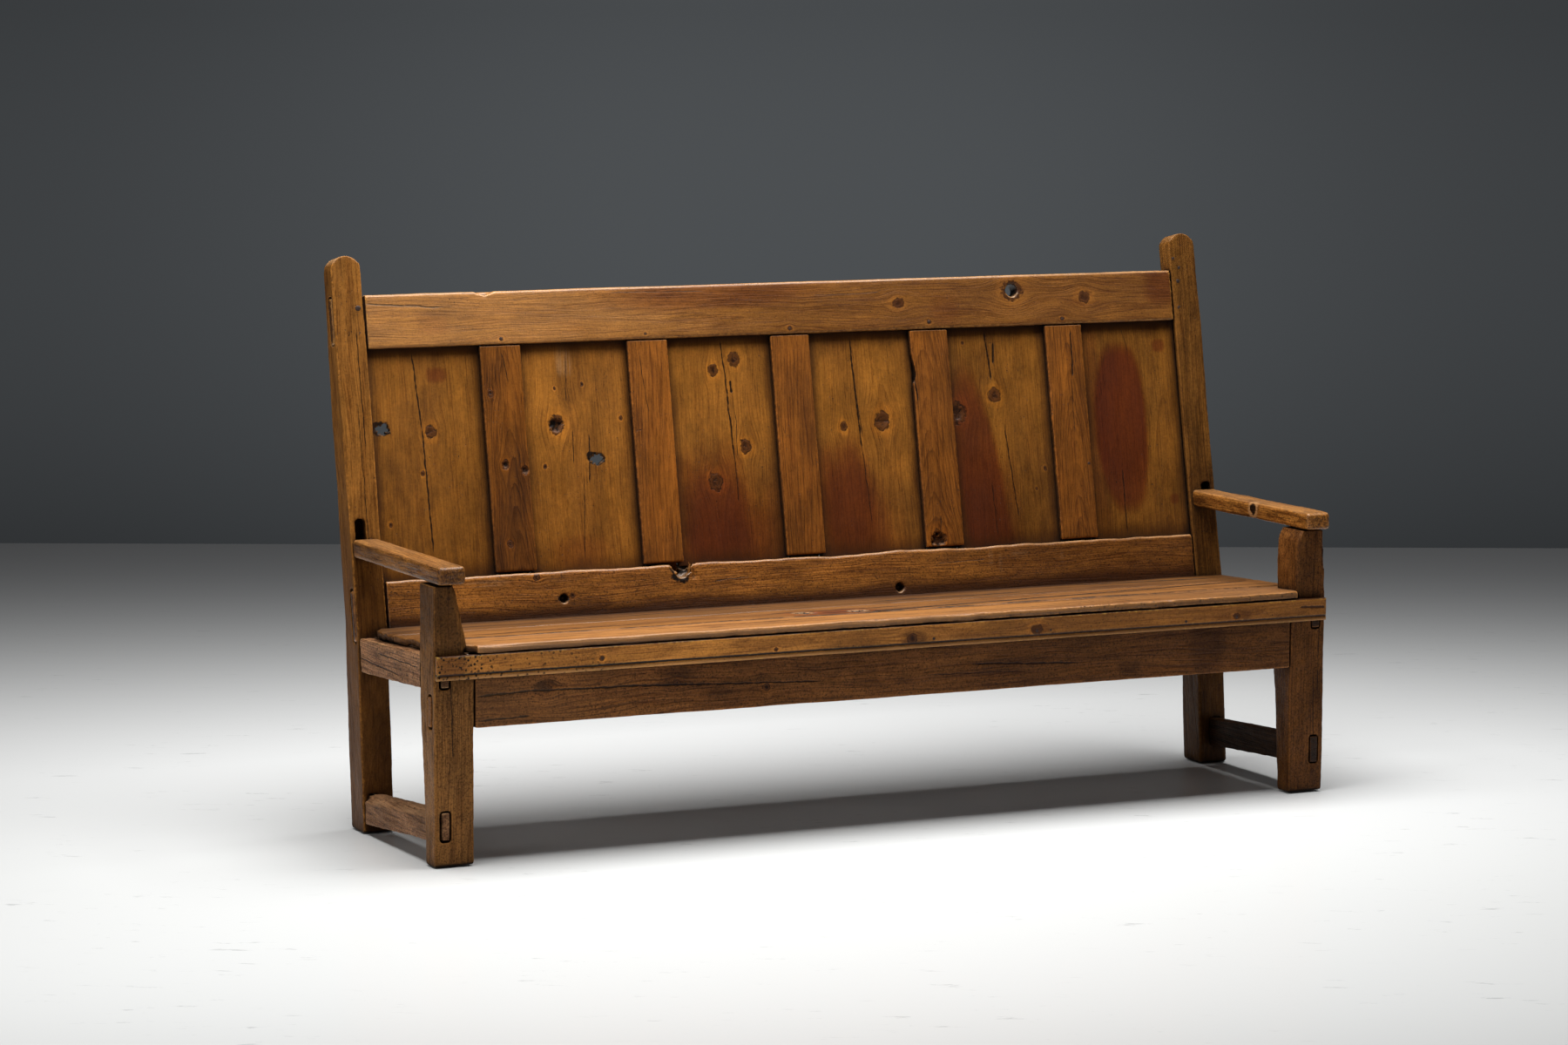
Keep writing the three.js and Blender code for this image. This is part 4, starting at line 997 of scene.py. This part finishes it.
muntins = {
    "muntin_1": dict(pith=(-0.632, 0.04), seed=13.1, taper=0.07, tone=0.83, contrast=0.95,
        knots=[(-668.3, 454.1, 6, 0.9), (-647.8, 310.3, 8, 0.9), (-606.7, 297.6, 7, 0.9),
            (-650.4, 150.9, 6, 0.9)], cracks=[(-638, 536.5, -627.4, 473.9, 1.1)]),
    "muntin_2": dict(pith=(-0.25, 0.12), seed=14.6, taper=0.04, tone=1.27,
        cracks=[(-338, 530, -326, 400, 0.9)]),
    "muntin_3": dict(pith=(0.07, 0.1), seed=16.9, taper=0.04, tone=1.12),
    "muntin_4": dict(pith=(0.31, 0.06), seed=18.2, taper=0.08, tone=1.04, knots=[(312.2, 108.7, 16, 0.5)],
        cracks=[(284, 475, 290.5, 400, 2.4), (322, 160, 318, 125, 1.2)]),
    "muntin_5": dict(pith=(0.655, 0.03), seed=20.5, taper=0.09, tone=1.02,
        cracks=[(666.7, 538.1, 663.3, 437.2, 2.5), (660, 440, 657, 320, 0.9)]),
}
dressBoards(muntins, look="muntin", lie="backUp", voxel=0.003, rounds=4, contrast=0.65, spacing=0.0042,
            drift=0.01, fine=0.6, relief=0.7, grit=0.2, patina=0.42, sideDark=0.75, topWorn=0.5)

# Splinters left standing in the split of the lower rail

splinters = {
    "width": 0.0034, "thick": 0.0024, "tall": 0.030,
    "at": [  # x, up, behind the face, lean in degrees, size
        (-0.264, 0.074, 0.004, 10, 1.0), (-0.2605, 0.076, 0.007, -6, 1.1), (-0.2675, 0.071, 0.008, 22, 0.9),
        (-0.2575, 0.078, 0.005, -14, 0.9), (-0.2705, 0.066, 0.006, 34, 0.7), (-0.262, 0.072, 0.011, 2, 1.0)],
}


def sliver():  # one torn fibre of wood
    bpy.ops.object.select_all(action="DESELECT")
    bpy.ops.mesh.primitive_cone_add(vertices=6, radius1=0.5, radius2=0.1, depth=1, location=(0, 0, 0))
    torn = bpy.context.object
    bpy.ops.object.mode_set(mode="EDIT")
    bpy.ops.mesh.select_all(action="SELECT")
    bpy.ops.mesh.subdivide(number_cuts=2)
    bpy.ops.transform.vertex_random(offset=0.09, seed=5)
    bpy.ops.transform.resize(value=(splinters["width"], splinters["thick"], splinters["tall"]),
                             center_override=(0, 0, 0))
    bpy.ops.object.mode_set(mode="OBJECT")
    torn.data.materials.append(boardMaterial("pine_splinter", "seat", "backUp", pith=(-0.2, 0.2), seed=60.0,
                                             tone=1.7, patina=0.2, dirt=0.5))
    return torn


def addCopy(name, pattern, place):  # with its own mesh, set at its place
    piece = bpy.data.objects.new(name, pattern.data.copy())
    bpy.context.collection.objects.link(piece)
    piece.data.transform(place)
    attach(piece, "root")


tornFibre = sliver()
for number, (x, up, behind, lean, size) in enumerate(splinters["at"], 1):
    upright = Matrix.Rotation(math.radians(lean), 4, "Y") @ Matrix.Rotation(-rake, 4, "X")
    addCopy(f"splinter_{number}", tornFibre,
            Matrix.Translation(onBack(x, up, behind)) @ upright @ Matrix.Scale(size, 4))
bpy.data.objects.remove(tornFibre)
print("splinters standing")

# Iron nails

nails = {
    "head": 0.0042,  # radius of the biggest heads
    "oval": 0.9,
    "proud": 0.0012,
    "hammered": 0.0006,
    "postProud": 0.0028,
    "iron": (0.016, 0.012, 0.010),
    "rust": (0.055, 0.020, 0.008),
    "back": [(-0.638, 0.563, 1.0), (-0.3215, 0.563, 0.8), (0.005, 0.563, 1.0), (0.329, 0.567, 1.0),
             (0.648, 0.563, 1.0), (0.685, 0.253, 0.9)],
    "post": [(-0.937, 0.634, 1.74), (-0.936, 0.583, 1.74), (-0.931, 0.562, 1.45), (0.940, 0.636, 1.45),
             (0.937, 0.579, 1.45), (0.932, 0.685, 1.305), (0.945, 0.665, 1.305)],
    "fascia": [(-0.649, 0.386, 0.9), (0.067, 0.380, 0.8), (0.300, 0.381, 0.9), (0.3315, 0.381, 0.7),
               (0.646, 0.379, 0.8), (0.766, 0.3815, 0.8)],
}  # back, post and fascia: x, up the rake or z, size


def rustyIron():
    material, tree, shader = newMaterial("rustyIron")
    bloom = cloud(objectPlace(tree), 700.0)
    feed(shader, {"Base Color": mixColor(ramp(bloom, 0.4, 0.65), nails["iron"], nails["rust"]),
                  "Roughness": ramp(bloom, 0.3, 0.7, 0.5, 0.8), "Metallic": 0.4})
    return material


def nailHead():  # a low, hammered dome
    bpy.ops.object.select_all(action="DESELECT")
    bpy.ops.mesh.primitive_uv_sphere_add(segments=14, ring_count=8, radius=1, location=(0, 0, 0))
    head = bpy.context.object
    bpy.ops.object.mode_set(mode="EDIT")
    bpy.ops.mesh.select_all(action="SELECT")
    bpy.ops.mesh.bisect(plane_co=(0, 0, -0.2), plane_no=(0, 0, 1), use_fill=True, clear_inner=True)
    bpy.ops.mesh.select_all(action="SELECT")
    bpy.ops.transform.resize(value=(nails["head"], nails["head"] * nails["oval"], nails["proud"]),
                             center_override=(0, 0, 0))
    bpy.ops.object.mode_set(mode="OBJECT")
    for vertex in head.data.vertices:
        vertex.co += vertex.co.normalized() * nails["hammered"] * (noise.noise(vertex.co * 600) - 0.5)
    head.data.materials.append(rustyIron())
    head.data.shade_smooth()
    return head


dome = nailHead()
outOfBack = Matrix.Rotation(math.pi / 2 - rake, 4, "X")
outOfFascia = Matrix.Rotation(math.pi / 2, 4, "X")
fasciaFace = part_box("fascia_moulding")[0].y
for row in ("back", "post", "fascia"):
    for number, (x, up, size) in enumerate(nails[row], 1):
        if row == "fascia":
            place = Matrix.Translation((x, fasciaFace + nails["proud"], up)) @ outOfFascia
        elif row == "post":
            place = Matrix.Translation(onBack(x, up, railFace + nails["postProud"])) @ outOfBack
        else:
            face = muntinFace if up < 0.5 else railFace
            place = Matrix.Translation(onBack(x, up, face + nails["proud"])) @ outOfBack
        addCopy(f"nail_{row}_{number}", dome, place @ Matrix.Scale(size, 4))
bpy.data.objects.remove(dome)
print("nails driven")

# Camera

view = {
    "at": (-4.12399, -8.33004, 1.72883),
    "turn": (-25.6822, 7.0412, 0.1863),  # yaw, dip and roll in degrees
    "lens": 105.926,
    "sensor": 36,
}
yaw, dip, roll = (math.radians(angle) for angle in view["turn"])
cameraData = bpy.data.cameras.new("camera")
cameraData.sensor_width = view["sensor"]
cameraData.lens = view["lens"]
camera = bpy.data.objects.new("camera", cameraData)
bpy.context.collection.objects.link(camera)
camera.matrix_world = (Matrix.Translation(view["at"]) @ Matrix.Rotation(yaw, 4, "Z")
                       @ Matrix.Rotation(math.pi / 2 - dip, 4, "X") @ Matrix.Rotation(roll, 4, "Z"))
bpy.context.scene.camera = camera
bpy.context.scene.view_settings.view_transform = "Standard"

# Pale painted floor, square to the camera

studioFloor = {
    "width": 16.0,
    "depth": 8.5,
    "behind": 4.15,  # floor behind the bench, where the wall starts
    "drop": 0.0005,
    "color": (0.77, 0.775, 0.77),
    "bands": [  # painted light falloff, much darker far behind the bench: from and to, in metres behind the bench, and the colour there
        ((0.6, 3.9), (0.34, 0.345, 0.35)), ((0.6, -0.8), (0.735, 0.74, 0.73)),
        ((-0.85, -2.0), (0.80, 0.805, 0.795))],
    "scuff": (0.34, 0.345, 0.35),
    "scuffScale": (9.0, 34.0, 1.0),
    "scuffed": 0.45,
    "roughness": 0.24,
    "gloss": 0.35,
}


def paleFloor():
    material, tree, shader = newMaterial("paleFloor")
    place = turnBack(objectPlace(tree), (0, 0, 0), (0, 0, yaw))
    back = split3(place)[1]
    paint = studioFloor["color"]
    for (start, end), color in studioFloor["bands"]:
        paint = mixColor(ramp(back, start, end), paint, color)
    drawn = made(tree, "ShaderNodeMapping", {"Vector": place, "Scale": studioFloor["scuffScale"]})
    scuffs = ramp(cloud(drawn, 1.0, 5.0, 0.7), 0.61, 0.68) * ramp(cloud(place, 2.2), 0.42, 0.6)
    paint = mixColor(scuffs * studioFloor["scuffed"], paint, studioFloor["scuff"])
    feed(shader, {"Base Color": paint, "Roughness": studioFloor["roughness"],
                  "Specular IOR Level": studioFloor["gloss"]})
    return material


bpy.ops.object.select_all(action="DESELECT")
bpy.ops.mesh.primitive_plane_add(size=1, location=(0, 0, 0))
floor = bpy.context.object
floor.name = "floor"
bpy.ops.object.mode_set(mode="EDIT")
bpy.ops.transform.resize(value=(studioFloor["width"], studioFloor["depth"], 1), center_override=(0, 0, 0))
middle = studioFloor["behind"] - studioFloor["depth"] / 2
bpy.ops.transform.translate(value=(0, middle, -studioFloor["drop"]))
bpy.ops.object.mode_set(mode="OBJECT")
floor.data.transform(Matrix.Rotation(yaw, 4, "Z"))
floor.data.materials.append(paleFloor())

# Grey wall for the camera, with painted shade towards its sides, foot and top, and a dim even room for all
# else

studioWall = {
    "color": (0.0725, 0.0785, 0.0835),
    "room": 0.043,
    "roomTint": (0.98, 1.0, 1.02),
    # painted shade: the wall darkens away from the camera's way, towards its foot and towards its top
    "sideFall": (0.02, 0.18, 0.64),        # from and to beside the camera's way, and what is left there
    "footFall": (-0.0585, -0.1264, 0.37),  # from and to below the horizon, and what is lost there
    "headFall": (-0.050, -0.013, 0.12),
}


def wallFall(height, start, end, lost):
    share = ramp(height, start, end, kind="LINEAR")
    return share * share * lost


world = bpy.data.worlds.new("studio")
bpy.context.scene.world = world
world.use_nodes = True
sky = world.node_tree
gaze = made(sky, "ShaderNodeTexCoord", {}, "Generated")
gazeX, gazeY, gazeZ = split3(gaze)
aside = abs(gazeX * math.cos(yaw) + gazeY * math.sin(yaw))
start, end, left = studioWall["sideFall"]
light = 1.0 - wallFall(gazeZ, *studioWall["footFall"]) - wallFall(gazeZ, *studioWall["headFall"])
light = light * ramp(aside, start, end, 1.0, left)
wall = mixColor(1.0, studioWall["color"], join3(light, light, light), "MULTIPLY")
room = scaled(studioWall["roomTint"], studioWall["room"])
seenByCamera = made(sky, "ShaderNodeLightPath", {}, "Is Camera Ray")
feed(sky.nodes["Background"], {"Color": mixColor(seenByCamera, room, wall)})

# Soft lamps

lamps = {
    "overheadBox": dict(at=(-0.1, -0.16, 3.2), aim=(-0.1, -0.16, 0), size=(3.7, 1.92), power=187, spread=150),
    "leftBoard": dict(at=(-3.6, -0.9, 1.3), aim=(0, 0, 0.6), size=(2.2, 2.0), power=18, spread=180),
}


def softbox(name, at, aim, size, power, spread):
    data = bpy.data.lights.new(name, "AREA")
    data.shape = "RECTANGLE"
    data.size, data.size_y = size
    data.energy = power
    data.spread = math.radians(spread)
    lamp = bpy.data.objects.new(name, data)
    bpy.context.collection.objects.link(lamp)
    lamp.location = at
    lamp.rotation_euler = (Vector(aim) - Vector(at)).to_track_quat("-Z", "Y").to_euler()


for name, fitting in lamps.items():
    softbox(name, **fitting)
print("stage set")
